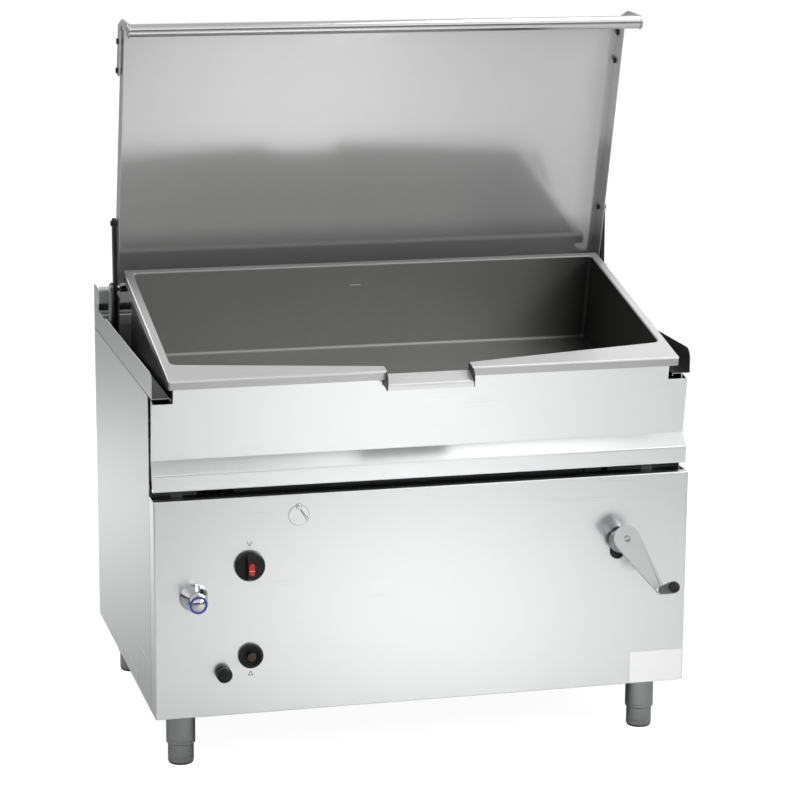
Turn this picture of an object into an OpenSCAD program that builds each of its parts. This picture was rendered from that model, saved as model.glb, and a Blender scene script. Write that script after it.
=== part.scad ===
// Gas-heated tilting bratt pan with a hinged lid and a hand-cranked tilting screw.
// X runs to the right, Y to the back and Z up. The origin lies on the floor, midway between the feet.
// Depths are counted from the front panel's face, and the whole is then moved back to the origin.

/* [Cabinet] */
// Width over the side panels
cabinet_w = 1200; // [1100:10:1400]
// Depth from the front panel to the rear panel
cabinet_d = 812; // [800:1:860]
// Height of the cabinet's bottom over the floor
floor_gap = 130; // [115:1:160]
// Height of the front panel's top edge
front_top = 615; // [600:1:616]
// Height of the seam between side panel and rail
rail_seam = 838; // [825:1:839]
// Height of the rails' top edge
rail_top = 891; // [880:1:896]
// Distance from the rear panel to where the rails step down
rail_back = 172; // [152:1:192]
// Height of the rear deck
deck_top = 885; // [875:1:890]
// Distance from the rear panel to the rear deck's front edge
deck_back = 106; // [92:1:112]
// Depth of the flue, front to back
flue_back = 67; // [57:1:77]
// Height of the flue cap
flue_top = 944; // [930:1:980]
// Thickness of the sheet steel
sheet = 1.5; // [1:0.1:2]

/* [Feet] */
// Distance of a foot's axis from the cabinet's side
foot_side = 69; // [55:1:120]
// Depth of the front feet
foot_front = 92; // [70:1:120]
// Distance of the rear feet's axes from the rear panel
foot_back = 51; // [42:1:112]
// Radius of the upper sleeve
sleeve_r = 32; // [30:0.5:36]
// Radius of the lower, adjustable sleeve
stem_r = 28.5; // [24:0.5:31]
// Height of the lower sleeve's top edge
stem_top = 46; // [36:1:60]

/* [Pan] */
// Forward tilt of the pan as photographed, in degrees
pan_tilt = 13; // [0:0.5:20]
// Depth of the tilting axis
pivot_y = 62; // [61:0.5:63]
// Height of the tilting axis
pivot_z = 665; // [664:0.5:668]
// Distance of the rim from the cabinet's side
rim_gap = 33; // [31:1:50]
// Depth of the rim's front edge
rim_front = 35; // [32:1:40]
// Distance from the rear panel to the rim's rear edge
rim_back = 175; // [174:1:192]
// Height of the level rim
rim_top = 890; // [880:1:892]
// Depth of the well
well_depth = 210; // [180:1:212]
// Width of the side flanges
rim_side = 19; // [15:1:25]
// Width of the spout
spout_w = 190; // [150:1:240]

/* [Lid] */
// Opening angle of the lid as photographed, in degrees
lid_open = 88.3; // [60:0.1:89]
// Distance of the lid hinge behind the rim's rear edge
hinge_gap = 3; // [1:0.5:4]
// Height of the lid hinge over the level pan
hinge_z = 846; // [845:0.5:848]
// Distance of the lid from the cabinet's side
lid_gap = 22; // [22:0.5:25]
// Height of the lid's side skirts
skirt_h = 43; // [36:1:43]
// Radius of the handle bar
bar_r = 14.5; // [12:0.5:16]

/* [Tilting gear] */
// Distance of the crank from the cabinet's right side
crank_side = 161.4; // [155:0.2:170]
// Height at which the screw's axis meets the front panel
screw_z = 463; // [455:1:470]
// Slope of the screw, in degrees
screw_slope = 21; // [20:0.5:22]
// Radius of the screw
screw_r = 12; // [10:0.5:13]
// Length of the push link between its pins
link_len = 340; // [336:1:346]
// Length of the crank arm between its centres
arm_len = 136; // [110:1:150]
// Angle of the crank arm from straight down, in degrees
arm_angle = 29.6; // [-180:0.2:180]
// Length of the crank grip
grip_len = 90; // [70:1:110]

/* [Controls] */
// Place of the gas knob, from the cabinet's left side and up
gas_knob_at = [206.6, 463.3];
// Place of the ring with the push shaft, from the left side and up
push_ring_at = [207.4, 262.1];
// Place of the igniter button, from the left side and up
spark_at = [147, 227];
// Place of the water tap, from the left side and up
water_tap_at = [84, 401];
// Place of the inspection disc's screw, from the left side and up
sight_disc_at = [315, 587.5];
// Radius of the gas knob
gas_knob_r = 33; // [28:0.5:36]
// Radius of the tap's knob
tap_knob_r = 23; // [18:0.5:26]

/* [Hidden] */
$fn = 48;

// Cabinet sheets and frame
half_w = cabinet_w / 2;
inner_w = half_w - sheet;
foot_x = half_w - foot_side;
foot_rear = cabinet_d - foot_back;
rail_rear = cabinet_d - rail_back;
deck_front = cabinet_d - deck_back;
flue_front = cabinet_d - flue_back;
rim_half = half_w - rim_gap;
rim_rear = cabinet_d - rim_back;
hinge_y = rim_rear + hinge_gap;
lid_half = half_w - lid_gap;
crank_x = half_w - crank_side;
gas_at = [gas_knob_at[0] - half_w, gas_knob_at[1]];
ring_at = [push_ring_at[0] - half_w, push_ring_at[1]];
igniter_at = [spark_at[0] - half_w, spark_at[1]];
tap_at = [water_tap_at[0] - half_w, water_tap_at[1]];
disc_at = [sight_disc_at[0] - half_w, sight_disc_at[1]];
panel_return = 55;
panel_flange = 20;
panel_step = 58;
panel_gap = 0.5;
frame_leg = 40;
frame_wall = 4;
frame_inset = 3;
frame_half = half_w - frame_inset;
beam_top = 600;
beam_front = 64;
tray_beam_side = 240;
tray_beam_x = half_w - tray_beam_side;
tray_beam_w = 30;
rear_post_top = 830;
frame_base = floor_gap + sheet;
cradle_rail_w = 80;
vent_side = 280;
vent_w = cabinet_w - 2 * vent_side;
vent_d = 300;
vent_front = 220;

// Holes through the front panel
gas_hole_r = 8;
ring_hole_r = 12;
tap_hole_r = 13;
sight_hole_r = 18;
sight_drop = 18.5;
slot_half = 18;
slot_low = 39;
slot_high = 35;

// Access cover and bare plates
cover_front = 71;
cover_rear = 230;
cover_rise = 3;
cover_h = 102;
cover_low = floor_gap + cover_rise;
cover_high = cover_low + cover_h;
plate_t = 0.8;
plate_margin = 3;
front_plate_size = [124, 72];
front_plate_rise = 2;
front_plate = [half_w - plate_margin - front_plate_size[0], half_w - plate_margin,
    floor_gap + front_plate_rise, floor_gap + front_plate_rise + front_plate_size[1]];
side_plate_size = [175, 28];
side_plate_y = 240;
side_plate_rise = 4;
side_plate = [side_plate_y, side_plate_y + side_plate_size[0],
    floor_gap + side_plate_rise, floor_gap + side_plate_rise + side_plate_size[1]];

// Rear panel louvres and pipe holes
louvre_w = 180;
louvre_h = 7;
louvre_pitch = 22;
louvre_rows = 9;
louvre_side = 350;
louvre_x = half_w - louvre_side;
louvre_low = 560;
pipe_r = 9;
union_r = 10.5;
union_off = 2;
pipe_hole_r = 13;
pipe_stub = 30;
gas_pipe_z = 300;

// Rails, deck and flue
rail_front = 8;
rail_corner_r = 20;
shelf_w = 41;
shelf_inner = half_w - shelf_w;
shelf_back = 252;
shelf_rear = cabinet_d - shelf_back;
shelf_lip = 7;
deck_drop = 25;
flue_bottom = 800;
slot_bottom = 888;
slot_top = 905;
cap_fold_r = 12;
stiffener_x = half_w / 2;

// Tilting pivots
bracket_side = 53;
bracket_w = 26;
bracket_out = half_w - bracket_side;
bracket_in = bracket_out - bracket_w;
bracket_wall = 4;
bracket_web = 90;
bracket_rear = 104;
bracket_web_top = 632;
bracket_eye_r = 14;
pin_r = 9;
pin_head_r = 13;
pin_head = 4;
lug_side = 62;
lug_w = 8;
lug_out = half_w - lug_side;
lug_in = lug_out - lug_w;
lug_eye_r = 18;
bush_wall = 3;
clearance = 0.05;

// Feet
sleeve_cap = 10;
foot_rod_r = 12;
foot_rod_top = 108;
pad_h = 4;
pad_inset = 1.5;

// Gas and water
valve_half = 30;
valve_d = 80;
valve_h = 80;
valve_stem_r = 5;
valve_stem = 10;
pipe_y = 52;
manifold_side = 163;
manifold_x = manifold_side - half_w;
manifold_z = 545;
manifold_r = 9;
riser_r = 7;
elbow_r = 11;
burner_z = 590;
burner_r = 20;
burner_wall = 2;
burner_first = 180;
burner_pitch = 120;
burner_count = 4;
burner_side = 150;
burner_left = burner_side - half_w;
port_w = 5;
port_end = 30;
tray_side = 200;
tray_wall_gap = 8;
tray_half = half_w - tray_side;
burner_right = tray_half - tray_wall_gap;
port_half = tray_half - port_end;
saddle_x = tray_half - port_end;
tray_front = 140;
tray_back = 212;
tray_rear = cabinet_d - tray_back;
tray_wall = 52;
saddle_w = 12;
saddle_half = 15;
outlet_r = 8;
outlet_side = 23;
outlet_back = 236;
outlet_drop = 8;
outlet_x = outlet_side - half_w;
outlet_y = cabinet_d - outlet_back;
outlet_top = rail_seam - outlet_drop;

// Tap
escutcheon_r = 31;
escutcheon_neck_r = 14;
escutcheon_d = 24;
tap_barrel_r = 12;
tap_chest_r = 17;
tap_stem_r = 5;
tap_knob_front = 60;
tap_knob_d = 30;
tap_lobe_r = 5;
tap_lobes = 8;
tap_ring_r = 18.5;
tap_ring_w = 3.5;
tap_ring_t = 1;
tap_cup_t = 3;

// Knobs, buttons and disc
knob_disc_d = 12;
knob_gap = 1;
grip_bar_d = 16;
grip_bar_w = 18;
knob_mark_w = 12;
knob_mark_h = 27;
knob_mark_t = 0.6;
ring_r = 27.3;
ring_d = 10;
ring_cup_r = 19;
ring_cup_d = 4;
ring_shaft_r = 9.3;
ring_shaft_out = 18;
ring_shaft_in = 16;
barrel_r = 12;
barrel_in = 14;
igniter_r = 17;
igniter_bezel_d = 5;
igniter_out = 25;
igniter_head = 14;
igniter_stem_r = 8;
disc_r = 23;
disc_t = 1.5;
disc_off = 0.3;
disc_screw_r = 6.6;
disc_screw_head = 2.5;
disc_stem_r = 2;

// Crank and screw, measured along the screw from the panel's face
head_s = -64.3;
head_t = 6;
head_r = 30;
arm_end_r = 10;
hub_r = 26;
hub_rear = -14;
grip_gap = 1;
grip_r = 13;
grip_neck_r = 9;
grip_pin_r = 5;
ferrule_r = 10;
ferrule_l = 6;
front_bearing = 45;
rear_bearing = 375;
bearing_l = 20;
collar_r = 17;
collar_l = 6;
screw_end = 402;
nut_half = 22;
nut_top = 20;
bed_drop = 34;
bed_t = 8;
bed_half = 42;
leg_half = 38;
leg_front = 60;
leg_rear = 360;
trunnion_r = 8;
trunnion_end = 34;
link_in = 24;
link_t = 6;
link_eye_r = 15;
spacer_r = 10;
// Pan lug: the upper link pin's place from the tilting axis, and its oversize window
lug_pin = [80, -30];
window_shift = [1.4, -4.2];
window_r = 21.5;
window_wall = 10;
lug_plate_in = 12;
lug_plate_t = 6;

// Pan well, rim, spout and apron, as the level pan stands
well_wall = 3;
well_floor_t = 12;
rim_t = 3;
rim_skirt = 20;
rim_skirt_t = 2;
rim_rear_w = 20;
well_corner_y = 121;
well_front_y = 65;
spout_half = spout_w / 2;
spout_tip_y = 18;
spout_root_z = 873;
spout_tip_z = 865;
spout_lip = 13;
apron_top = [58, 887];
apron_bend = [45, 701];
nose_top = [14, 680];
nose_bottom = [8, 643];
nose_lip = [30, 640];
apron_gap = 2.5;
apron_half = half_w - apron_gap;
apron_notch_side = 47;
apron_notch_x = half_w - apron_notch_side;
apron_notch_z = 829;
apron_side_gap = 5.5;
apron_side_in = half_w - apron_side_gap;
apron_side_d = 25;
spout_notch_half = 102;
spout_notch_z = 848;

// Pan subframe and lid hinge posts
runner_side = 55;
runner_w = 40;
runner_out = half_w - runner_side;
runner_in = runner_out - runner_w;
runner_h = 28;
runner_wall = 4;
runner_front = 140;
rear_beam_over = 12;
rear_beam_w = 40;
rear_beam_front = rim_rear - rear_beam_over;
rear_beam_rear = rear_beam_front + rear_beam_w;
post_side = 5.5;
post_w = 19.5;
post_out = half_w - post_side;
post_in = post_out - post_w;
post_wall = 3;
post_cheek = 5;
post_drop = 18;
post_top = hinge_z - post_drop;

// Lid
lid_t = 2;
lid_front = 25;
lid_overhang = 10;
lid_rear = hinge_y + lid_overhang;
lid_lift = 3;
lid_under = rim_top + lid_lift;
rear_skirt_h = 22;
skirt_notch_run = 18;
skirt_notch_y = hinge_y - skirt_notch_run;
skirt_notch_h = 8;
spout_room = 6;
lid_pin_r = 8;
lid_pin_side = 2.7;
lid_pin_end = half_w - lid_pin_side;
boss_r = 11;
boss_l = 22;
boss_in = lid_half - boss_l;
skirt_gap = 2;
arm_t = 8;
arm_in = lid_half + skirt_gap;
arm_out = arm_in + arm_t;
arm_run = 143;
bolt_drop = 7;
arm_bolt = [hinge_y - arm_run, lid_under - bolt_drop];
arm_eye_r = 12;
hinge_nut_r = 11;
bar_y = -6.4;
bar_z = 769.6;
bar_wall = 2;
bracket_plate_t = 5;
bracket_plate_in = lid_half + skirt_gap;
bracket_plate_out = bracket_plate_in + bracket_plate_t;
bracket_bolt_y = [60, 128];
bolt_step = 1;
bracket_bolt_z = [lid_under - bolt_drop, lid_under - bolt_drop - bolt_step];
bracket_tip_r = 13;
bolt_r = 4;
bolt_head_r = 7;
bolt_head = 4;
eye_wall = 1.5;

// Derived places of the tilting gear
screw_dir = [cos(screw_slope), -sin(screw_slope)];
pin_rest = [
    pivot_y + lug_pin[0] * cos(pan_tilt) - lug_pin[1] * sin(pan_tilt),
    pivot_z + lug_pin[0] * sin(pan_tilt) + lug_pin[1] * cos(pan_tilt)
];
pin_along = pin_rest[0] * screw_dir[0] + (pin_rest[1] - screw_z) * screw_dir[1];
pin_above = -pin_rest[0] * screw_dir[1] + (pin_rest[1] - screw_z) * screw_dir[0];
nut_s = pin_along + sqrt(link_len * link_len - pin_above * pin_above);
nut_rest = [nut_s * screw_dir[0], screw_z + nut_s * screw_dir[1]];
link_angle = atan2(pin_rest[1] - nut_rest[1], pin_rest[0] - nut_rest[0]);

// Places the whole object over the feet's middle
module placed() {
    translate([0, -(foot_front + foot_rear) / 2, 0]) children();
}

// Tilts what is drawn on the level pan
module in_pan() {
    placed() translate([0, pivot_y, pivot_z]) rotate([pan_tilt, 0, 0])
        translate([0, -pivot_y, -pivot_z]) children();
}

// Opens what is drawn on the closed lid
module in_lid() {
    in_pan() translate([0, hinge_y, hinge_z]) rotate([-lid_open, 0, 0])
        translate([0, -hinge_y, -hinge_z]) children();
}

// Y runs along the screw, from the panel's face to the rear
module in_screw() {
    placed() translate([crank_x, 0, screw_z]) rotate([-screw_slope, 0, 0]) children();
}

module both_sides() {
    children();
    mirror([1, 0, 0]) children();
}

module box(x, y, z) {
    translate([x[0], y[0], z[0]]) cube([x[1] - x[0], y[1] - y[0], z[1] - z[0]]);
}

module x_rod(x, y, z, r) {
    translate([x[0], y, z]) rotate([0, 90, 0]) cylinder(h = x[1] - x[0], r = r);
}

module y_rod(x, y, z, r) {
    translate([x, y[0], z]) rotate([-90, 0, 0]) cylinder(h = y[1] - y[0], r = r);
}

module z_rod(x, y, z, r) {
    translate([x, y, z[0]]) cylinder(h = z[1] - z[0], r = r);
}

// Extrudes an outline drawn in Y and Z along X
module along_x(x) {
    translate([x[0], 0, 0]) rotate([90, 0, 90]) linear_extrude(x[1] - x[0]) children();
}

// Angle section ring that stands on its flange
module angle_ring(x, y, z, leg, wall) {
    difference() {
        box(x, y, z);
        box([x[0] + wall, x[1] - wall], [y[0] + wall, y[1] - wall], [z[0] + wall, z[1] + leg]);
        box([x[0] + leg, x[1] - leg], [y[0] + leg, y[1] - leg], [z[0] - leg, z[1] + leg]);
    }
}

// Angle post whose corner points outwards
module corner_post(y_corner, inwards, top) {
    legs = inwards > 0 ? [y_corner, y_corner + frame_leg] : [y_corner - frame_leg, y_corner];
    face = inwards > 0 ? [y_corner, y_corner + frame_wall] : [y_corner - frame_wall, y_corner];
    box([frame_half - frame_wall, frame_half], legs, [frame_base, top]);
    box([frame_half - frame_leg, frame_half], face, [frame_base, top]);
}

module cabinet_frame() {
    rear = cabinet_d - frame_inset;
    beam_low = beam_top - frame_leg;
    color("silver") placed() {
        angle_ring([-frame_half, frame_half], [frame_inset, rear],
            [frame_base, frame_base + frame_leg], frame_leg, frame_wall);
        both_sides() {
            corner_post(frame_inset, 1, beam_top);
            corner_post(rear, -1, rear_post_top);
            box([frame_half - frame_wall, frame_half], [frame_inset, beam_front + frame_leg],
                [beam_low, beam_top]);
            box([tray_beam_x, tray_beam_x + tray_beam_w], [beam_front, rear],
                [beam_low - tray_beam_w, beam_low]);
        }
        difference() {
            box([-frame_half, frame_half], [beam_front, beam_front + frame_wall], [beam_low, beam_top]);
            y_rod(disc_at[0], [0, rear], disc_at[1] - sight_drop, sight_hole_r);
        }
        box([-frame_half, frame_half], [beam_front, beam_front + frame_leg],
            [beam_top - frame_wall, beam_top]);
        box([-frame_half, frame_half], [rear - frame_wall, rear], [beam_low, beam_top]);
        difference() {
            box([crank_x - cradle_rail_w / 2, crank_x + cradle_rail_w / 2], [frame_inset, rear],
                [frame_base, frame_base + frame_leg]);
            box([crank_x - cradle_rail_w / 2 + frame_wall, crank_x + cradle_rail_w / 2 - frame_wall],
                [frame_inset + frame_wall, rear - frame_wall],
                [frame_base - frame_wall, frame_base + frame_leg - frame_wall]);
        }
    }
}

module front_panel() {
    color("gainsboro") placed() difference() {
        union() {
            box([-half_w, half_w], [0, sheet], [floor_gap, front_top]);
            both_sides() box([inner_w, half_w], [0, panel_return], [floor_gap, front_top]);
            box([-half_w, half_w], [0, panel_flange], [front_top - sheet, front_top]);
            box([-half_w, half_w], [0, panel_flange], [floor_gap, floor_gap + sheet]);
        }
        y_rod(gas_at[0], [-sheet, panel_flange], gas_at[1], gas_hole_r);
        y_rod(ring_at[0], [-sheet, panel_flange], ring_at[1], ring_hole_r);
        y_rod(igniter_at[0], [-sheet, panel_flange], igniter_at[1], ring_hole_r);
        y_rod(tap_at[0], [-sheet, panel_flange], tap_at[1], tap_hole_r);
        y_rod(disc_at[0], [-sheet, 2 * sheet], disc_at[1] - sight_drop, sight_hole_r);
        y_rod(disc_at[0], [-sheet, 2 * sheet], disc_at[1], disc_stem_r);
        box([crank_x - slot_half, crank_x + slot_half], [-sheet, 2 * sheet],
            [screw_z - slot_low + slot_half, screw_z + slot_high - slot_half]);
        for (z = [screw_z - slot_low + slot_half, screw_z + slot_high - slot_half])
            y_rod(crank_x, [-sheet, 2 * sheet], z, slot_half);
    }
}

module left_side_panel() {
    color("lightgray") placed() difference() {
        box([-half_w, -inner_w], [panel_step, cabinet_d - sheet], [floor_gap, rail_seam - sheet]);
        box([-half_w - sheet, half_w], [cover_front - panel_gap, cover_rear + panel_gap],
            [cover_low - panel_gap, cover_high + panel_gap]);
    }
}

module right_side_panel() {
    color("lightgray") placed()
        box([inner_w, half_w], [panel_step, cabinet_d - sheet], [floor_gap, rail_seam - sheet]);
}

module access_cover() {
    color("lightgray") placed() {
        box([-half_w, -inner_w], [cover_front, cover_rear], [cover_low, cover_high]);
        box([-inner_w, -inner_w + sheet], [cover_front - frame_wall, cover_rear + frame_wall],
            [cover_high - frame_leg, cover_high + frame_wall]);
    }
}

module blank_plates() {
    color("whitesmoke") placed() {
        box([-half_w - plate_t, -half_w], [side_plate[0], side_plate[1]], [side_plate[2], side_plate[3]]);
        box([front_plate[0], front_plate[1]], [-plate_t, 0], [front_plate[2], front_plate[3]]);
    }
}

module rear_panel() {
    color("lightgray") placed() difference() {
        box([-half_w, half_w], [cabinet_d - sheet, cabinet_d], [floor_gap, rail_seam - sheet]);
        for (side = [-1, 1], row = [0 : louvre_rows - 1])
            box([side * louvre_x - louvre_w / 2, side * louvre_x + louvre_w / 2],
                [cabinet_d - 2 * sheet, cabinet_d + sheet],
                [louvre_low + row * louvre_pitch, louvre_low + row * louvre_pitch + louvre_h]);
        y_rod(gas_at[0], [cabinet_d - 2 * sheet, cabinet_d + sheet], gas_pipe_z, pipe_hole_r);
        y_rod(tap_at[0], [cabinet_d - 2 * sheet, cabinet_d + sheet], tap_at[1], pipe_hole_r);
    }
}

module bottom_panel() {
    color("lightgray") placed() difference() {
        box([-inner_w, inner_w], [panel_flange + panel_gap, cabinet_d - sheet],
            [floor_gap, floor_gap + sheet]);
        box([-vent_w / 2, vent_w / 2], [vent_front, vent_front + vent_d],
            [floor_gap - sheet, floor_gap + 2 * sheet]);
    }
}

module side_rails() {
    corner_y = rail_front + rail_corner_r;
    corner_z = rail_top - rail_corner_r;
    color("silver") placed() both_sides() {
        along_x([inner_w, half_w]) polygon(concat(
            [for (a = [180 : -15 : 90])
                [corner_y + rail_corner_r * cos(a), corner_z + rail_corner_r * sin(a)]],
            [[rail_rear, rail_top], [rail_rear, deck_top], [flue_front, deck_top],
             [flue_front, rail_seam - sheet], [rail_front, rail_seam - sheet]]));
        box([shelf_inner, half_w], [rail_front, shelf_rear], [rail_seam - sheet, rail_seam]);
        box([shelf_inner, shelf_inner + sheet], [rail_front, shelf_rear],
            [rail_seam - shelf_lip, rail_seam]);
    }
}

module rear_deck() {
    color("silver") placed() {
        box([-inner_w, inner_w], [deck_front, flue_front], [deck_top - sheet, deck_top]);
        box([-inner_w, inner_w], [deck_front, deck_front + sheet], [deck_top - deck_drop, deck_top]);
    }
}

module flue_body() {
    rear = cabinet_d - sheet;
    color("silver") placed() {
        box([-inner_w, inner_w], [flue_front, flue_front + sheet], [flue_bottom, slot_bottom]);
        box([-half_w, half_w], [rear, cabinet_d], [rail_seam - sheet, slot_top]);
        both_sides() box([inner_w, half_w], [flue_front, cabinet_d], [rail_seam - sheet, slot_top]);
        for (x = [-stiffener_x, 0, stiffener_x])
            box([x - sheet, x + sheet], [flue_front, cabinet_d], [slot_bottom - deck_drop, slot_top]);
    }
}

// Outline of the flue cap: a fold at the front, a flat top and a back
module cap_outline(inset) {
    front = flue_front + inset;
    rear = cabinet_d - inset;
    top = flue_top - inset;
    r = cap_fold_r - inset;
    polygon(concat(
        [[front, slot_top - 2 * inset]],
        [for (a = [180 : -15 : 90]) [front + r + r * cos(a), top - r + r * sin(a)]],
        [[rear, top], [rear, slot_top - 2 * inset]]));
}

module flue_cap() {
    color("gainsboro") placed() difference() {
        along_x([-half_w, half_w]) cap_outline(0);
        along_x([-inner_w, inner_w]) cap_outline(sheet);
    }
}

module bracket_cheek() {
    polygon(concat(
        [[bracket_rear, beam_top], [bracket_rear, bracket_web_top]],
        [for (a = [60 : 15 : 225]) [pivot_y + bracket_eye_r * cos(a), pivot_z + bracket_eye_r * sin(a)]],
        [[bracket_web, bracket_web_top], [bracket_web, beam_top]]));
}

module pivot_brackets() {
    color("silver") placed() both_sides() {
        difference() {
            union() {
                along_x([bracket_in, bracket_in + bracket_wall]) bracket_cheek();
                along_x([bracket_out - bracket_wall, bracket_out]) bracket_cheek();
            }
            x_rod([0, half_w], pivot_y, pivot_z, pin_r);
        }
        box([bracket_in, bracket_out], [bracket_web, bracket_web + bracket_wall],
            [beam_top, bracket_web_top]);
        box([bracket_in, bracket_out], [bracket_web, bracket_rear], [beam_top, beam_top + bracket_wall]);
    }
}

module pivot_pins() {
    color("dimgray") placed() both_sides() {
        x_rod([bracket_in - pin_head, bracket_out + pin_head], pivot_y, pivot_z, pin_r);
        x_rod([bracket_in - pin_head, bracket_in], pivot_y, pivot_z, pin_head_r);
        x_rod([bracket_out, bracket_out + pin_head / 2], pivot_y, pivot_z, pin_head_r);
    }
}

module foot_sleeves() {
    color("slategray") placed() both_sides() for (y = [foot_front, foot_rear]) difference() {
        z_rod(foot_x, y, [stem_top, floor_gap], sleeve_r);
        z_rod(foot_x, y, [stem_top - sheet, floor_gap - sleeve_cap], foot_rod_r + clearance);
    }
}

module foot_stem(side, y) {
    color("darkgray") placed() {
        z_rod(side * foot_x, y, [pad_h, stem_top], stem_r);
        z_rod(side * foot_x, y, [stem_top, foot_rod_top], foot_rod_r);
    }
}

module foot_pad(side, y) {
    color("black") placed() z_rod(side * foot_x, y, [0, pad_h], stem_r - pad_inset);
}

module foot_stem_front_left() { foot_stem(-1, foot_front); }
module foot_stem_front_right() { foot_stem(1, foot_front); }
module foot_stem_rear_left() { foot_stem(-1, foot_rear); }
module foot_stem_rear_right() { foot_stem(1, foot_rear); }
module foot_pad_front_left() { foot_pad(-1, foot_front); }
module foot_pad_front_right() { foot_pad(1, foot_front); }
module foot_pad_rear_left() { foot_pad(-1, foot_rear); }
module foot_pad_rear_right() { foot_pad(1, foot_rear); }

module gas_valve() {
    color("goldenrod") placed() {
        box([gas_at[0] - valve_half, gas_at[0] + valve_half], [sheet, valve_d],
            [gas_at[1] - valve_h / 2, gas_at[1] + valve_h / 2]);
        y_rod(gas_at[0], [-valve_stem, sheet], gas_at[1], valve_stem_r);
    }
}

// Supply pipe from the rear connection to the valve
module gas_pipe() {
    valve_low = gas_at[1] - valve_h / 2;
    color("khaki") placed() {
        y_rod(gas_at[0], [pipe_y, cabinet_d + pipe_stub], gas_pipe_z, pipe_r);
        y_rod(gas_at[0], [cabinet_d + union_off, cabinet_d + pipe_stub], gas_pipe_z, union_r);
        z_rod(gas_at[0], pipe_y, [gas_pipe_z, valve_low], pipe_r);
        translate([gas_at[0], pipe_y, gas_pipe_z]) sphere(pipe_r);
    }
}

module gas_manifold() {
    color("khaki") placed() difference() {
        union() {
            x_rod([manifold_x, gas_at[0] - valve_half], pipe_y, gas_at[1], manifold_r);
            z_rod(manifold_x, pipe_y, [gas_at[1], manifold_z], manifold_r);
            y_rod(manifold_x, [pipe_y, burner_first + (burner_count - 1) * burner_pitch + 2 * riser_r],
                manifold_z, manifold_r);
            translate([manifold_x, pipe_y, gas_at[1]]) sphere(elbow_r);
            translate([manifold_x, pipe_y, manifold_z]) sphere(elbow_r);
            for (i = [0 : burner_count - 1])
                z_rod(manifold_x, burner_first + i * burner_pitch, [manifold_z, burner_z], riser_r);
        }
        for (i = [0 : burner_count - 1])
            x_rod([burner_left - burner_r, 0], burner_first + i * burner_pitch, burner_z, burner_r);
    }
}

module burner_tubes() {
    color("dimgray") placed() for (i = [0 : burner_count - 1]) {
        y = burner_first + i * burner_pitch;
        difference() {
            x_rod([burner_left, burner_right], y, burner_z, burner_r);
            x_rod([burner_left + burner_wall, burner_right - burner_wall], y, burner_z,
                burner_r - burner_wall);
            box([-port_half, port_half], [y - port_w / 2, y + port_w / 2],
                [burner_z, burner_z + 2 * burner_r]);
        }
    }
}

module burner_tray() {
    low = beam_top - frame_leg;
    color("gray") placed() difference() {
        union() {
            difference() {
                box([-tray_half, tray_half], [tray_front, tray_rear], [low, low + tray_wall]);
                box([-tray_half + sheet, tray_half - sheet], [tray_front + sheet, tray_rear - sheet],
                    [low + sheet, low + 2 * tray_wall]);
            }
            for (i = [0 : burner_count - 1])
                box([saddle_x, saddle_x + saddle_w],
                    [burner_first + i * burner_pitch - saddle_half,
                     burner_first + i * burner_pitch + saddle_half],
                    [low, burner_z - burner_r / 2]);
        }
        for (i = [0 : burner_count - 1])
            x_rod([-half_w, burner_right], burner_first + i * burner_pitch, burner_z, burner_r);
    }
}

// Supply pipe from the rear, and the outlet that rises to the left rail
module water_pipe() {
    color("khaki") placed() difference() {
        union() {
            y_rod(tap_at[0], [pipe_y, cabinet_d + pipe_stub], tap_at[1], pipe_r);
            y_rod(tap_at[0], [cabinet_d + union_off, cabinet_d + pipe_stub], tap_at[1], union_r);
            x_rod([outlet_x, tap_at[0]], pipe_y + outlet_r / 2, tap_at[1], outlet_r);
            y_rod(outlet_x, [pipe_y + outlet_r / 2, outlet_y], tap_at[1], outlet_r);
            z_rod(outlet_x, outlet_y, [tap_at[1], outlet_top], outlet_r);
            translate([outlet_x, pipe_y + outlet_r / 2, tap_at[1]]) sphere(outlet_r);
            translate([outlet_x, outlet_y, tap_at[1]]) sphere(outlet_r);
        }
        z_rod(outlet_x, outlet_y, [tap_at[1] + pipe_y, outlet_top + sheet], outlet_r - sheet);
    }
}

module tap_escutcheon() {
    color("silver") placed() translate([tap_at[0], 0, tap_at[1]]) rotate([90, 0, 0]) difference() {
        rotate_extrude() polygon(concat(
            [[0, 0], [escutcheon_r, 0]],
            [for (a = [0 : 15 : 90])
                [escutcheon_neck_r + (escutcheon_r - escutcheon_neck_r) * (1 - sin(a)),
                 escutcheon_d * (1 - cos(a))]],
            [[0, escutcheon_d]]));
        translate([0, 0, -sheet]) cylinder(h = escutcheon_d * 2, r = tap_barrel_r);
    }
}

module tap_body() {
    color("silver") placed() {
        y_rod(tap_at[0], [-escutcheon_d, sheet], tap_at[1], tap_barrel_r);
        y_rod(tap_at[0], [sheet, pipe_y - outlet_r / 2], tap_at[1], tap_chest_r);
        y_rod(tap_at[0], [-tap_knob_front + 2 * tap_cup_t, -escutcheon_d], tap_at[1], tap_stem_r);
    }
}

module control_bezels() {
    color("black") placed() {
        difference() {
            union() {
                y_rod(ring_at[0], [-ring_d, 0], ring_at[1], ring_r);
                y_rod(ring_at[0], [0, barrel_in], ring_at[1], barrel_r);
            }
            y_rod(ring_at[0], [-2 * ring_d, -ring_d + ring_cup_d], ring_at[1], ring_cup_r);
            y_rod(ring_at[0], [-ring_d, 2 * barrel_in], ring_at[1], ring_shaft_r + clearance);
        }
        difference() {
            union() {
                y_rod(igniter_at[0], [-igniter_bezel_d, 0], igniter_at[1], igniter_r);
                y_rod(igniter_at[0], [0, barrel_in], igniter_at[1], barrel_r);
            }
            y_rod(igniter_at[0], [-igniter_out, 2 * barrel_in], igniter_at[1],
                igniter_stem_r + clearance);
        }
    }
}

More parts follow.
